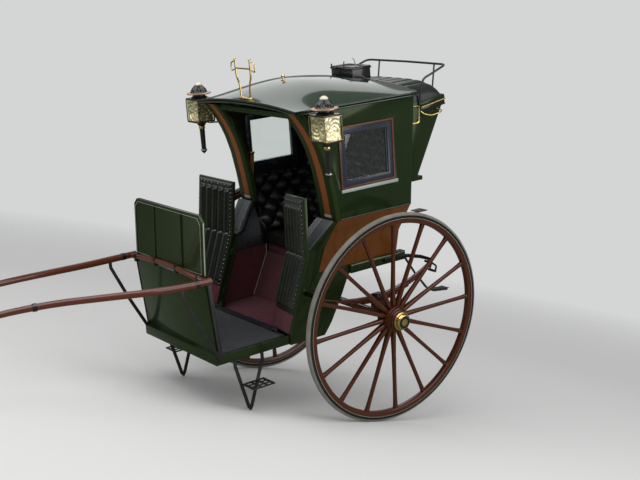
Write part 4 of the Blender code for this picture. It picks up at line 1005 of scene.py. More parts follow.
def build_doors():
    top = DOOR_BEND + DOOR_UPPER - 0.006
    flat_top = top - 0.045
    for word, side in SIDES:
        body = "door_" + word
        refined("door_panel_" + word, "green", "green_gloss", bevel=0.0025, body=body)
        place = place_of_door(side) @ mirror_x(side)
        wide = DOOR_FAR - DOOR_NEAR - 0.010
        x_start = -DOOR_NEAR - 0.005
        pad = grid(100, 150)
        for v in pad.data.vertices:
            u, t = v.co.x + 0.5, v.co.y + 0.5
            s = PAD_FOOT + (top - PAD_FOOT) * t
            edge = min(u, 1.0 - u) * wide
            rim = min(1.0, max(0.0, edge / PAD_SIDE)) ** 0.5
            ends = min(1.0, (s - PAD_FOOT) / 0.020, (top - s) / 0.016)
            ends = max(0.0, ends) ** 0.5
            inner = min(1.0, max(0.0, (u * wide - PAD_SIDE) / (wide - 2.0 * PAD_SIDE)))
            roll = flute(inner, DOOR_FLUTES) if PAD_SIDE < u * wide < wide - PAD_SIDE else 0.0
            fade = min(1.0, max(0.0, (flat_top - s) / 0.018)) * min(1.0, max(0.0, (s - PAD_FOOT - 0.018)
                                                                             / 0.02))
            seam = 1.0 - 0.55 * math.exp(-((s - DOOR_BEND) / 0.0075) ** 2)
            puff = 0.010 + 0.0205 * roll * fade * seam
            depth = PAD_BACK + puff * rim * ends
            v.co = door_skin(x_start - wide * u, s, depth)
        settle(pad, "door leather " + word, "leather", body=body, place=place, angle=60.0,
               replaces=("door_pad_" + word,), slot="black_leather")

        kick = block((x_start - wide, 0.0262, 0.034), (x_start, 0.0305, 0.156), 0.0015)
        settle(kick, "door kick carpet " + word, "carpet", body=body, place=place)

        spots = []
        for i in range(STUD_ROWS):
            s = PAD_FOOT + 0.012 + (top - PAD_FOOT - 0.024) * i / (STUD_ROWS - 1)
            for u in (0.026, 0.974):
                spots.append(door_skin(x_start - wide * u, s, PAD_BACK + 0.0120))
        for i in range(1, 10):
            spots.append(door_skin(x_start - wide * i / 10.0, top - 0.020, PAD_BACK + 0.0125))
        settle(heads(spots, 0.0026, 0.0016, (0.0, 1.0, 0.0)), "door studs " + word, "silver", body=body,
               place=place)

        strap = rod([door_skin(x, top + 0.004, 0.011) for x in (-0.008, -0.334)], 0.0040)
        settle(strap, "door top moulding " + word, "black", body=body, place=place)


# ------------------------------------------------------------------ seat and inside

def button_height(u, v):
    """Deep-buttoned surface: 0 in the folds, 1 on the crowns."""
    a = abs(math.sin(math.pi * (u + v)))
    b = abs(math.sin(math.pi * (u - v)))
    return (a * b) ** 0.62


def buttoned(name, across, up_path, depth, replaces, edge=0.02):
    """Pad over a path of (y, z) points swept across X, puffed between its buttons."""
    pitch = BUTTON_PITCH
    lengths = [0.0]
    for a, b in zip(up_path, up_path[1:]):
        lengths.append(lengths[-1] + (Vector(b) - Vector(a)).length)
    total = lengths[-1]

    def at(s):
        for i in range(1, len(lengths)):
            if s <= lengths[i] + 1e-9:
                share = (s - lengths[i - 1]) / (lengths[i] - lengths[i - 1])
                p = Vector(up_path[i - 1]).lerp(Vector(up_path[i]), share)
                way = (Vector(up_path[i]) - Vector(up_path[i - 1])).normalized()
                return p, Vector((-way.y, way.x))
        return Vector(up_path[-1]), Vector((0.0, 1.0))

    pad = grid(170, 150)
    for v in pad.data.vertices:
        u, t = v.co.x + 0.5, v.co.y + 0.5
        s = total * t
        p, out = at(s)
        width = across(p.y)
        x = -width + 2.0 * width * u
        near = min(width - abs(x), s, total - s)
        rim = min(1.0, max(0.0, near / edge)) ** 0.5
        puff = depth * (0.25 + 0.75 * button_height(x / pitch[0], s / pitch[1])) * rim
        v.co = Vector((x, p.x + out.x * puff, p.y + out.y * puff))
    settle(pad, name, "buttoned", angle=70.0, replaces=replaces, slot="black_leather")
    spots = []
    for i in range(-12, 13):
        for j in range(0, 40):
            if (i + j) % 2:
                continue
            x, s = i * pitch[0] / 2.0, j * pitch[1] / 2.0
            if s < edge or s > total - edge:
                continue
            p, out = at(s)
            if abs(x) > across(p.y) - edge:
                continue
            spots.append((x, p.x + out.x * depth * 0.30, p.y + out.y * depth * 0.30))
    settle(heads(spots, 0.0075, 0.005, (0.0, -1.0, 0.0)), name + " buttons", "buttoned")


def build_inside():
    # back of the seat
    path = mm((214, 1168), (243, 1300), (268, 1390), (300, 1560), (345, 1872))
    buttoned("buttoned back", lambda z: half_at(z) - 0.034, path, 0.052, ("backrest",))

    # side pads
    y0, y1 = -0.212, 0.285
    z0, z1 = 1.146, 1.548
    for word, side in SIDES:
        pad = grid(110, 90)
        for v in pad.data.vertices:
            y = y0 + (y1 - y0) * (v.co.x + 0.5)
            z = z0 + (z1 - z0) * (v.co.y + 0.5)
            near = min(y - y0, y1 - y, z - z0, z1 - z)
            rim = min(1.0, max(0.0, near / 0.018)) ** 0.5
            puff = (0.006 + 0.038 * button_height(y / BUTTON_PITCH[0], z / BUTTON_PITCH[1])) * rim
            v.co = Vector((side * (half_at(z) - 0.0285 - puff), y, z))
        settle(pad, "side pad " + word, "buttoned", angle=70.0)

    # seat cushion with a welt
    cushion = block((-SEAT_HALF, -0.176, 1.052), (SEAT_HALF, 0.220, 1.132), 0.022, 4)
    with editing(cushion):
        bpy.ops.mesh.subdivide(number_cuts=5)
    for v in cushion.data.vertices:
        u = v.co.x / SEAT_HALF
        w = (v.co.y - 0.022) / 0.198
        crown = max(0.0, 1.0 - u * u) ** 0.5 * max(0.0, 1.0 - w * w) ** 0.5
        if v.co.z > 1.10:
            v.co.z += 0.014 * crown
        if v.co.y < -0.150:
            v.co.y -= 0.006 * max(0.0, 1.0 - u * u)
    settle(cushion, "seat cushion leather", "leather", angle=60.0, replaces=("seat_cushion",),
           slot="black_leather")
    welt = bent(mm((-436, -160, 1124), (-420, -179, 1126), (420, -179, 1126),
                   (436, -160, 1124)), 0.012, 0.0040)
    settle(welt, "seat cushion welt", "leather")

    refined("seat_box", "boarded carpet", "mauve_carpet")
    refined("footwell_floor", "boarded carpet", "mauve_carpet")
    refined("floor_mat", "mat", "grey_mat", bevel=0.002)
    refined("toe_board", "green", "green_gloss", bevel=0.002)

    threshold = block((-0.372, -0.684, 0.6950), (0.372, -0.6335, 0.7050), 0.003)
    settle(threshold, "threshold strip", "black")
    ribs = [block((-0.365, y - 0.0024, 0.7045), (0.365, y + 0.0024, 0.7072), 0.0008)
            for y in (-0.675, -0.664, -0.653, -0.642)]
    settle(join(ribs), "threshold ribs", "navy")

    # carpet on the side walls of the footwell, piped along its inner corner
    outline = mm((-606, 693), (-318, 693), (-176, 988), (-176, 1046), (-472, 1046), (-488, 1020))
    obj = plate([outline], 0.004, 0.001)
    pair(moved(obj, Matrix.Translation((CARPET_X, 0.0, 0.0)) @ SIDE_FACING), "footwell side carpet",
         "carpet")

    piping = rod(mm((439.5, -178, 1046), (439.5, -178, 988), (439.5, -319, 694.5)), 0.0030)
    pair(piping, "footwell piping", "light")

    # leather lining from the knee up to the wing's crest, following the inside of the side boards
    verts, faces = [], []
    rows = mm((-452, 1052), (-412, 1190), (-384, 1240), (-344, 1290), (-300, 1340), (-262, 1380))
    columns = 6
    for front, z in rows:
        for i in range(columns + 1):
            y = front + (LINING_REAR - front) * i / columns
            verts.append((half_at(z) - 0.0305, y, z))
    for r in range(len(rows) - 1):
        for i in range(columns):
            a = r * (columns + 1) + i
            faces.append((a, a + columns + 1, a + columns + 2, a + 1))
    for obj in pair(take_mesh("lining", verts, faces), "knee lining", "wing", angle=60.0):
        use(obj, "SOLIDIFY", "sheet", thickness=0.003, offset=0.0)

    # window strap on the far side
    path = mm((-530, -174, 1702), (-526, -190, 1580), (-524, -205, 1490), (-522, -212, 1442))
    settle(strap_of(path, 0.016, 0.0015, (0.0, 1.0, 0.0)), "window strap", "strap")
    end = block((-0.534, -0.192, 1.696), (-0.524, -0.156, 1.712), 0.003)
    settle(end, "window strap holder", "brass")


# ------------------------------------------------------------------ front

def leaned(obj):
    """Lean an upright piece with the front boards: out up to the cross bar, back a little above it."""
    use(obj, "SUBSURF", "cuts", subdivision_type="SIMPLE", levels=2)
    for v in obj.data.vertices:
        if v.co.z <= KNEE_Z:
            v.co.y -= LEAN_OUT * (v.co.z - BOARD_FOOT_Z) / (KNEE_Z - BOARD_FOOT_Z)
        else:
            v.co.y -= LEAN_OUT - LEAN_BACK * (v.co.z - KNEE_Z) / (DASH_Z[1] - KNEE_Z)
    return obj


def build_front():
    refined("dash", "green", "green_gloss", bevel=0.002)
    refined("front_board", "green", "green_gloss", bevel=0.002)
    for word, _ in SIDES:
        refined("shaft_iron_" + word, "iron", "black_iron", bevel=0.001)
        refined("prop_step_" + word, "iron", "black_iron", bevel=0.001)
    refined("cross_bar", "shaft", "maroon_gloss", bevel=0.003)

    low, high = DASH_Z

    def dash_ring(inset):
        h, c = DASH_HALF - inset, DASH_CHAMFER
        return [(-h, low + inset), (h, low + inset), (h, high - inset - c), (h - c, high - inset),
                (-h + c, high - inset), (-h, high - inset - c)]

    for name, y, rib_y in (("front", -1.1665, (-1.1670, -1.1545)), ("rear", -1.1385, (-1.1505, -1.1380))):
        line = plate([dash_ring(0.0165), dash_ring(0.0190)], 0.0014, 0.0004)
        obj = moved(line, Matrix.Translation((0.0, y, 0.0)) @ FRONT_FACING)
        settle(leaned(obj), "dash line " + name, "light")
        for x in (-DASH_RIB_X, DASH_RIB_X):
            rib = block((x - 0.007, rib_y[0], low + 0.017), (x + 0.007, rib_y[1], high - 0.017), 0.002)
            settle(leaned(rib), "dash rib %s %d" % (name, 1 if x < 0 else 2), "green")
    edge = block((DASH_HALF - 0.001, -1.1570, low + 0.010), (DASH_HALF + 0.0012, -1.1485, high - 0.042),
                 0.0005)
    settle(leaned(edge), "dash end line left", "light")

    points, sizes = smooth_line(SHAFT_LINE, SHAFT_SCALE, 6)
    for word, side in SIDES:
        shaft = moved(tapered(points, [SHAFT_RADIUS * s for s in sizes]), mirror_x(side))
        settle(shaft, "shaft turned " + word, "shaft", angle=60.0, replaces=("shaft_" + word,),
               slot="maroon_gloss")
        for at, name in ((0.10, "rear"), (0.62, "stop")):
            index = int(at * (len(points) - 1))
            p, q = points[index], points[index + 1]
            turn = UP.rotation_difference((q - p).normalized()).to_matrix().to_4x4()
            ringed = turned(mm((-12, 0), (-12, 24.2), (12, 24.2), (12, 0)), 28)
            moved(ringed, mirror_x(side) @ Matrix.Translation(p) @ turn)
            settle(ringed, "shaft band %s %s" % (name, word), "black")

    for x in (-0.40, -0.135, 0.135, 0.40):
        clip = block((x - 0.010, -1.2450, 1.176), (x + 0.010, -1.2080, 1.228), 0.003)
        drop = 0.028 * (abs(x) / 0.464) ** 2
        settle(shift(clip, 0.0, 0.0, -drop), "cross bar clip %d" % round(x * 1000), "black")


def smooth_line(line, scale, steps):
    """Points of a smooth curve through a line, and the sizes between."""
    pts = [Vector(p) for p in line]
    out, sizes = [], []
    for i in range(len(pts) - 1):
        a, b = pts[max(i - 1, 0)], pts[i]
        c, d = pts[i + 1], pts[min(i + 2, len(pts) - 1)]
        for k in range(steps):
            t = k / steps
            out.append(0.5 * ((2 * b) + (c - a) * t + (2 * a - 5 * b + 4 * c - d) * t * t
                              + (3 * b - 3 * c + d - a) * t ** 3))
            sizes.append(scale[i] + (scale[i + 1] - scale[i]) * t)
    out.append(pts[-1])
    sizes.append(scale[-1])
    return out, sizes


def tapered(points, radii):
    """Round bar whose thickness changes along its length."""
    obj = line_of(points)
    for spot, r in zip(obj.data.splines[0].points, radii):
        spot.radius = r
    obj.data.bevel_depth = 1.0
    obj.data.bevel_resolution = 4
    obj.data.use_fill_caps = True
    return meshed(obj)


# ------------------------------------------------------------------ wheels

def reach_map(obj):
    """Store each corner's distance from the wheel's axis as a map."""
    layer = obj.data.uv_layers.new(name="reach")
    for loop in obj.data.loops:
        co = obj.data.vertices[loop.vertex_index].co
        layer.data[loop.index].uv = (math.hypot(co.y, co.z), co.x)


def build_wheels():
    for word, side in SIDES:
        body = "wheel_" + word
        place = place_of_wheel(side)

        hub = turned(mm((-105, 0), (-105, 50), (-88, 58), (-84, 62), (-78, 62), (-74, 70), (-70, 76),
                        (-44, 78), (-36, 78), (-30, 74.5), (-10, 78), (10, 80), (18, 80), (20, 85),
                        (24, 87), (30, 87), (34, 85), (35, 78), (40, 77.5), (41, 80), (48, 79.5),
                        (50, 77.5), (51, 70), (56, 69.5), (57, 72), (64, 71), (66, 69), (67, 64), (79, 62),
                        (79, 0)), 72, "X")
        spoke_rows = mm((66, 20, 12), (80, 20, 13), (110, 19, 15), (165, 16.5, 14.5), (260, 13.5, 12.8),
                        (450, 12, 12), (560, 12, 12.6), (610, 12.8, 14), (632, 13.8, 16), (650, 13.8, 16))
        verts, faces = [], []
        for r, deep, wide in spoke_rows:
            lean = -0.008 + 0.016 * (r - 0.058) / 0.592
            for k in range(SPOKE_SIDES):
                a = math.tau * (k + 0.5) / SPOKE_SIDES
                ca, sa = math.cos(a), math.sin(a)
                verts.append((lean + deep * math.copysign(abs(ca) ** SPOKE_SQUARENESS, ca),
                              wide * math.copysign(abs(sa) ** SPOKE_SQUARENESS, sa), r))
        for i in range(len(spoke_rows) - 1):
            for k in range(SPOKE_SIDES):
                here, after = i * SPOKE_SIDES, (k + 1) % SPOKE_SIDES
                faces.append((here + k, here + after, here + SPOKE_SIDES + after, here + SPOKE_SIDES + k))
        first = take_mesh("spoke", verts, faces)
        spokes = [copy_of(first, Matrix.Rotation(math.tau * i / SPOKES, 4, "X")) for i in range(SPOKES)]
        bpy.data.objects.remove(first)
        s, w = RIM_SHIFT, FELLOE_HALF
        felloe = turned([(s - w + 0.007, FELLOE_INNER), (s + w - 0.007, FELLOE_INNER),
                         (s + w - 0.003, FELLOE_INNER + 0.002), (s + w, FELLOE_INNER + 0.007),
                         (s + w, FELLOE_OUTER), (s - w, FELLOE_OUTER), (s - w, FELLOE_INNER + 0.007),
                         (s - w + 0.003, FELLOE_INNER + 0.002), (s - w + 0.007, FELLOE_INNER)], 128, "X")
        wheel = join([hub, felloe, *spokes])
        reach_map(wheel)
        settle(wheel, "turned wheel " + word, "wheel", body=body, place=place, angle=38.0,
               replaces=("wheel_" + word,), slot="maroon_gloss")

        for name, finish, angle, sides, profile in (
                ("hub copper ring", "brass", 50.0, 48,
                 mm((76, 58), (78, 62), (84, 62), (87, 59), (87, 54))),
                ("hub brass cap", "brass", 40.0, 48,
                 mm((78, 54), (94, 53.5), (102, 52), (107, 49), (110.5, 45.5), (111.5, 42), (111.5, 0))),
                ("hub cap black ring", "black", 50.0, 48,
                 mm((110.5, 42.5), (113.8, 41), (114.2, 33), (113, 25), (110.5, 24))),
                ("hub cap centre", "brass", 30.0, 40,
                 mm((110, 24.5), (113.8, 23.5), (114.6, 20), (114.6, 0))),
                ("hub rear hoop", "black", 50.0, 56,
                 mm((-36, 78.5), (-41, 80.2), (-66, 80.2), (-71, 78.5)))):
            settle(turned(profile, sides, "X"), name + " " + word, finish, body=body, place=place,
                   angle=angle)

        t = TYRE_HALF
        tyre = turned([(s - t, FELLOE_OUTER + 0.001), (s - t, WHEEL_RADIUS - 0.012),
                       (s - t + 0.002, WHEEL_RADIUS - 0.006), (s - t + 0.006, WHEEL_RADIUS - 0.0015),
                       (s - 0.006, WHEEL_RADIUS), (s + 0.006, WHEEL_RADIUS), (s + t - 0.006, WHEEL_RADIUS
                                                                              - 0.0015),
                       (s + t - 0.002, WHEEL_RADIUS - 0.006), (s + t, WHEEL_RADIUS - 0.012),
                       (s + t, FELLOE_OUTER + 0.001)], 128, "X")
        settle(tyre, "rubber tyre " + word, "tyre", body=body, place=place, angle=60.0, replaces=("tyre_"
                                                                                                  + word,),
               slot="grey_rubber")
        for name, a in (("inner", s - 0.0185), ("outer", s + 0.0185)):
            channel = turned([(a - 0.0018, FELLOE_OUTER - 0.001), (a - 0.0018, FELLOE_OUTER + 0.0095),
                              (a + 0.0018, FELLOE_OUTER + 0.0095), (a + 0.0018, FELLOE_OUTER - 0.001)], 128,
                             "X")
            settle(channel, "tyre channel %s %s" % (name, word), "black", body=body, place=place)
        spots = []
        for i in range(SPOKES // 2):
            a = math.tau * (i + 0.25) * 2.0 / SPOKES
            spots.append((s + w, BOLT_RADIUS * math.sin(a), BOLT_RADIUS * math.cos(a)))
        settle(heads(spots, 0.0045, 0.002), "felloe bolts " + word, "maroon", body=body, place=place)


# ------------------------------------------------------------------ running gear

def build_running_gear():
    refined("axle", "maroon", "maroon_gloss", bevel=0.002)
    for word, _ in SIDES:
        refined("spring_" + word, "maroon", "maroon_gloss", bevel=0.001)
        refined("driver_step_" + word, "iron", "black_iron", bevel=0.001)

    made = []
    for y in (-0.026, 0.026):
        bow = [(0.572, y, 0.776), (0.572, y, 0.842), (0.628, y, 0.842), (0.628, y, 0.776)]
        made.append(bent(bow, 0.006, 0.0042))
    made.append(block((0.566, -0.036, 0.838), (0.634, 0.036, 0.846), 0.002))
    pair(join(made), "spring clamps", "black")

    bow = rounded_path(mm((572, 452, 968), (572, 500, 930), (572, 486, 894), (628, 486, 894),
                          (628, 500, 930), (628, 452, 968)), 0.012)
    pins = [shift(turned(mm((-36, 0), (-36, 8.5), (36, 8.5), (36, 0)), 16, "X"), SPRING_X, y, z) for y,
            z in mm((455, 964), (484, 898))]
    pair(join([rod(bow, 0.0065), *pins]), "spring shackle", "black")

    eye = shift(turned(mm((-30, 0), (-30, 10), (-26, 12.5), (26, 12.5), (30, 10), (30, 0)),
                       20, "X"), SPRING_X, -0.478, 0.905)
    pair(eye, "spring front eye", "black")

    made = [block((STEP_X - 0.040, 0.600, 0.7060), (STEP_X + 0.040, 0.700, 0.7085), 0.001)]
    for y in (0.615, 0.635, 0.655, 0.675):
        made.append(block((STEP_X - 0.030, y - 0.003, 0.708), (STEP_X + 0.030, y + 0.003, 0.7105), 0.001))
    pair(join(made), "rear step tread", "iron")

    arm = bent(mm((470, 352, 1290), (500, 392, 1292), (500, 500, 1300)), 0.015, 0.006)
    tread = block((0.455, 0.440, 1.303), (0.540, 0.520, 1.308), 0.001)
    pair(join([arm, tread]), "upper rear step", "iron")


# ------------------------------------------------------------------ driver's seat

def build_driver():
    refined("driver_box", "green", "green_gloss", bevel=0.002)

    # seat board pitched up to the rear, green above and black below its brass line
    tilt = math.atan2(BOARD_REAR[1] - BOARD_FRONT[1], BOARD_REAR[0] - BOARD_FRONT[0])
    length = math.hypot(BOARD_REAR[0] - BOARD_FRONT[0], BOARD_REAR[1] - BOARD_FRONT[1])
    board_place = Matrix.Translation((0.0, *BOARD_FRONT)) @ Matrix.Rotation(tilt, 4, "X")
    upper = block((-0.4270, 0.0, 0.0020), (0.4270, length, 0.0330), 0.003)
    settle(moved(upper, board_place), "seat board", "green")
    lower = block((-0.4250, 0.0, -0.0340), (0.4250, length - 0.004, 0.0020), 0.003)
    settle(moved(lower, board_place), "seat board base", "black")
    lip = rod([(0.4255, 0.0, -0.0345), (0.4255, length - 0.004, -0.0345), (-0.4255, length - 0.004,
                                                                           -0.0345),
               (-0.4255, 0.0, -0.0345)], 0.0026)
    settle(moved(lip, board_place), "seat board lower bead", "rail")

    # domed cushion with pleats running front to back
    cushion = grid(176, 60, 2.0)
    for v in cushion.data.vertices:
        u, w = v.co.x, v.co.y
        dome = max(0.0, 1.0 - abs(u) ** 4.5) ** 0.42 * max(0.0, 1.0 - abs(w) ** 4.5) ** 0.42
        pleat = abs(math.sin(math.pi * u * CUSHION_PLEATS / 2.0)) ** 0.45
        height = CUSHION_RISE * dome * (0.90 + 0.10 * pleat)
        v.co = Vector((u * 0.417, 0.626 + w * 0.182, 2.030 + height))
    settle(cushion, "driver cushion leather", "driver leather", angle=60.0, replaces=("driver_cushion",),
           slot="black_leather")
    x = RAIL_X
    full = [(x, 0.583, 1.990), (x, 0.600, 2.090), (x, 0.629, 2.182), (x + 0.004, 0.722, 2.215),
            (x, 0.825, 2.250), (x - 0.030, 0.842, 2.254), (0.0, 0.850, 2.256)]
    path = [Vector(p) for p in full] + [Vector((-a, b, c)) for a, b, c in reversed(full[:-1])]
    bars = [bent(path, 0.03, 0.0075)]
    for px in (-0.300, 0.300):
        bars.append(bent([(px, 0.8088, 1.990), (px, 0.818, 2.060), (px, 0.849, 2.254)], 0.03, 0.0058))
    settle(join(bars), "seat rail bars", "iron", replaces=("seat_rail",), slot="black_iron")

    # brass rein guards beside the board, and the brass line along its edge
    spots = rounded_path(mm((424, 596, 1968), (456, 600, 1948), (462, 662, 1930), (462, 744, 1942),
                            (454, 768, 1954), (430, 738, 1966)), 0.024, 6)
    pair(rod(spots, 0.0046), "rein guard", "brass")
    line = rod([(BOARD_EDGE, 0.0, 0.0), (BOARD_EDGE, length + 0.001, 0.0), (-BOARD_EDGE, length + 0.001,
                                                                            0.0), (-BOARD_EDGE, 0.0, 0.0)],
               0.0042)
    settle(moved(line, board_place), "seat board line", "brass")


# ------------------------------------------------------------------ lamps

def build_lamps():
    x0, x1 = LAMP_X - LAMP_HALF_X, LAMP_X + LAMP_HALF_X
    y0, y1 = LAMP_Y - LAMP_HALF_Y, LAMP_Y + LAMP_HALF_Y
    z0, z1 = LAMP_Z

    made = [block((x0, y0, z0), (x1, y1, z0 + 0.012), 0.003), block((x0, y0, z1 - 0.012), (x1, y1, z1),
                                                                    0.003)]
    for x in (x0, x1 - LAMP_POST):
        for y in (y0, y1 - LAMP_POST):
            made.append(block((x, y, z0 + 0.006), (x + LAMP_POST, y + LAMP_POST, z1 - 0.006), 0.001))
    top = turned(mm((-4, 0), (-4, 56), (4, 58.5), (8, 56), (14, 44), (30, 42), (34, 60), (40, 61),
                    (46, 58.5), (56, 55), (66, 48), (76, 39), (86, 29), (91, 24), (92, 0)), 108)
    for v in top.data.vertices:
        if v.co.z > 0.042:
            a = math.atan2(v.co.y, v.co.x)
            dip = 1.0 - 0.13 * (0.5 - 0.5 * math.cos(LAMP_FLUTES * a))
            v.co.x *= dip
            v.co.y *= dip
    made.append(shift(top, LAMP_X, LAMP_Y, z1))
    tube = turned(mm((4, 0), (4, 34), (-8, 33), (-18, 29), (-30, 20), (-60, 18.5), (-186, 16.5),
                     (-190, 16.5), (-198, 21.5), (-204, 21.5), (-212, 18), (-220, 9), (-226, 4), (-226, 0)),
                  40)
    made.append(shift(tube, LAMP_X, LAMP_Y, z0))
    arm = bent([(PILLAR_FACE, -0.392, z0 + 0.006), (PILLAR_FACE + 0.028, -0.392, z0 + 0.006),
                (x0 - 0.034, LAMP_Y, z0 + 0.006), (x0 + 0.006, LAMP_Y, z0 + 0.006)], 0.012, 0.0062)
    made.append(arm)
    for obj in pair(join(made), "lamp body", "black", angle=34.0, slot="black_iron"):
        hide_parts("lamp_" + obj.name.split("_")[-1])

    trim = shift(turned(mm((-30, 20), (-34, 21.2), (-40, 22.5), (-46, 21.2),
                           (-50, 18.8)), 40), LAMP_X, LAMP_Y, z0)
    pair(trim, "lamp brass rings", "brass", angle=50.0)

    # broad copper collar under the fluted cap
    collar = shift(turned(mm((30, 41), (27, 80), (28.5, 84.5), (32, 86), (35.5, 84.5), (37, 78),
                             (40, 60)), 72), LAMP_X, LAMP_Y, z1)
    pair(collar, "lamp copper collar", "copper", angle=50.0)

    tip = shift(turned(mm((-196, 21.8), (-198, 22.8), (-203, 22.8), (-206, 21.4)), 40), LAMP_X, LAMP_Y, z0)
    pair(tip, "lamp light ring", "silver", angle=50.0)

    finial = shift(turned(mm((89.5, 0), (89.5, 26), (93, 27), (98, 25), (103, 19), (108, 13),
                             (111, 0)), 36), LAMP_X, LAMP_Y, z1)
    pair(finial, "lamp finial", "cream", angle=50.0)

    def lamp_side(a, margin, inset):
        """Half width of one of the four sides less a margin, and the place of a sheet set in from it."""
        half, reach = (LAMP_HALF_Y, LAMP_HALF_X) if a % 2 else (LAMP_HALF_X, LAMP_HALF_Y)
        middle = Matrix.Translation((LAMP_X, LAMP_Y, (z0 + z1) / 2.0))
        turn = Matrix.Rotation(math.radians(90.0 * a), 4, "Z")
        return half - margin, middle @ turn @ Matrix.Translation((0.0, inset - reach, 0.0))

    # pressed sheets with a pattern of leaves
    made = []
    for a in range(4):
        half, place = lamp_side(a, 0.0085, 0.0105)
        leaf = grid(56, 64)
        for v in leaf.data.vertices:
            u, w = v.co.x * 2.0, v.co.y * 2.0
            reach = math.hypot(u, w * 1.15)
            turn = math.atan2(w, u)
            leaves = math.cos(9.0 * reach) * math.cos(6.0 * turn + 5.0 * reach) * 0.0022 * min(1.0, 2.0
                                                                                               * reach)
            veins = math.sin(23.0 * u + 6.0 * w) * math.sin(21.0 * w - 5.0 * u) * 0.0007
            cup = 0.007 * max(0.0, 1.0 - u * u - w * w)
            v.co = (u * half, cup + leaves + veins, w * 0.0735)
        made.append(moved(leaf, place))
    for lining in pair(join(made), "lamp reflectors", "gilt", angle=60.0):
        use(lining, "SOLIDIFY", "sheet", thickness=0.0012)

    made = []
    for x in (x0 + 0.0002, x1 - 0.0002):
        for y in (y0 + 0.0002, y1 - 0.0002):
            made.append(rod([(x, y, z0 + 0.010), (x, y, z1 - 0.010)], 0.0020))
    for z in (z0 + 0.0125, z1 - 0.0125):
        corners = [(x0 + 0.001, y0 + 0.001, z), (x1 - 0.001, y0 + 0.001, z), (x1 - 0.001, y1 - 0.001, z),
                   (x0 + 0.001, y1 - 0.001, z)]
        made.append(rod(corners, 0.0018, closed=True))
    pair(join(made), "lamp corner beads", "brass", angle=40.0)

    # bevelled panes: a flat middle and sloping borders
    made = []
    height = (z1 - z0) / 2.0 - 0.0125
    for a in range(4):
        half, place = lamp_side(a, LAMP_POST + 0.0004, 0.0045)
        rim, mid = 0.0010, 0.0030
        inset = 0.014
        verts = [(-half, -rim, -height), (half, -rim, -height), (half, -rim, height), (-half, -rim, height),
                 (-half + inset, -mid, -height + inset), (half - inset, -mid, -height + inset),
                 (half - inset, -mid, height - inset), (-half + inset, -mid, height - inset),
                 (-half, 0.0, -height), (half, 0.0, -height), (half, 0.0, height), (-half, 0.0, height)]
        faces = [(4, 5, 6, 7), (0, 1, 5, 4), (1, 2, 6, 5), (2, 3, 7, 6), (3, 0, 4, 7), (11, 10, 9, 8),
                 (0, 8, 9, 1), (1, 9, 10, 2), (2, 10, 11, 3), (3, 11, 8, 0)]
        pane = take_mesh("pane", verts, faces)
        made.append(moved(pane, place))
    for obj in pair(join(made), "lamp panes", "lamp glass", angle=10.0, slot="clear_glass"):
        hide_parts("lamp_glass_" + obj.name.split("_")[-1])


# ------------------------------------------------------------------ studio

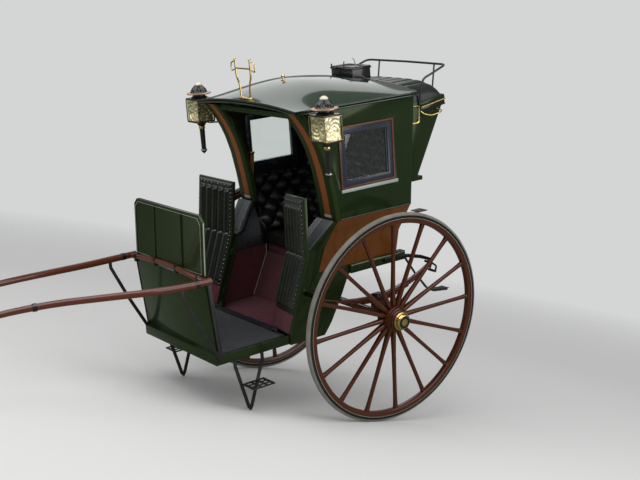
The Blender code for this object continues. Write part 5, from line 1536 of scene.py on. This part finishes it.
def build_studio():
    bpy.ops.mesh.primitive_plane_add(size=60.0, location=(0.0, 0.0, -0.0005))
    floor = bpy.context.object
    floor.name = "studio floor"
    f = Finish("studio floor", Specular_IOR_Level=0.2)
    spot = f.spot()
    pale = f.mix(f.noise(spot, 0.6), rgba(0.60, 0.60, 0.59), rgba(0.63, 0.63, 0.62))
    # seen in reflections the floor is painted dark green instead of pale: a painted reflection of darker,
    # greener surroundings
    mirrored = f.add("ShaderNodeLightPath").outputs["Is Glossy Ray"]
    f.feed(f.shader, "Base Color", f.mix(mirrored, pale, rgba(0.15, 0.17, 0.13)))
    f.shader.inputs["Roughness"].default_value = 0.75
    place = f.add("ShaderNodeVectorMath", {"operation": "LENGTH"}, n0=spot).outputs["Value"]
    f.feed(f.shader, "Alpha", f.span(place, 5.0, 11.0, 1.0, 0.0))
    floor.data.materials.append(f.material)

    world = bpy.data.worlds.new("studio air")
    bpy.context.scene.world = world
    world.use_nodes = True
    s = Sheet(world.node_tree)
    s.tree.nodes.clear()
    out = s.tree.nodes.new("ShaderNodeOutputWorld")
    back = s.add("ShaderNodeBackground", Color=rgba(0.80, 0.81, 0.82), Strength=0.62)
    mirrored = s.add("ShaderNodeBackground", Color=rgba(0.80, 0.82, 0.80), Strength=0.22)
    seen = s.add("ShaderNodeBackground", Color=rgba(0.66, 0.665, 0.665), Strength=1.0)
    rays = s.add("ShaderNodeLightPath")
    soft = s.add("ShaderNodeMixShader", n0=rays.outputs["Is Glossy Ray"], n1=back.outputs[0],
                 n2=mirrored.outputs[0])
    through = s.maths("MAXIMUM", rays.outputs["Is Camera Ray"], rays.outputs["Is Transmission Ray"])
    mixed = s.add("ShaderNodeMixShader", n0=through, n1=soft.outputs[0], n2=seen.outputs[0])
    s.tree.links.new(mixed.outputs[0], out.inputs[0])

    for name, where, size, power in (("high light", (1.5, -2.0, 6.5), 6.5, 330.0),
                                     ("left light", (6.5, 2.5, 4.2), 5.5, 190.0),
                                     ("front light", (-3.5, -7.0, 4.0), 5.0, 140.0),
                                     ("rear light", (-6.0, 3.4, 6.4), 4.5, 50.0)):
        lamp = bpy.data.lights.new(name, "AREA")
        lamp.size = size
        lamp.energy = power
        obj = linked(name, lamp)
        aim = Vector((0.0, 0.4, 1.1)) - Vector(where)
        obj.matrix_world = Matrix.Translation(where) @ aim.to_track_quat("-Z", "Y").to_matrix().to_4x4()


def build_camera():
    azimuth, elevation, distance = 0.9530, 0.25116, 8.20211
    roll = -0.06981
    target = Vector((-0.01718, 0.0, 1.10876))
    back = Vector((math.sin(azimuth) * math.cos(elevation), -math.cos(azimuth) * math.cos(elevation),
                   math.sin(elevation)))
    right = UP.cross(back).normalized()
    up = back.cross(right)
    turned_right = math.cos(roll) * right + math.sin(roll) * up
    turned_up = -math.sin(roll) * right + math.cos(roll) * up
    level = Matrix((turned_right, turned_up, back)).transposed().to_4x4()
    level.translation = target + distance * back
    camera = linked("camera", bpy.data.cameras.new("camera"))
    camera.data.sensor_width = 36.0
    camera.data.lens = 65.98
    camera.matrix_world = PARKED @ level
    bpy.context.scene.camera = camera
    bpy.context.scene.view_settings.view_transform = "Standard"


build_body()
build_roof()
build_doors()
build_inside()
build_front()
build_wheels()
build_running_gear()
build_driver()
build_lamps()
build_studio()
build_camera()
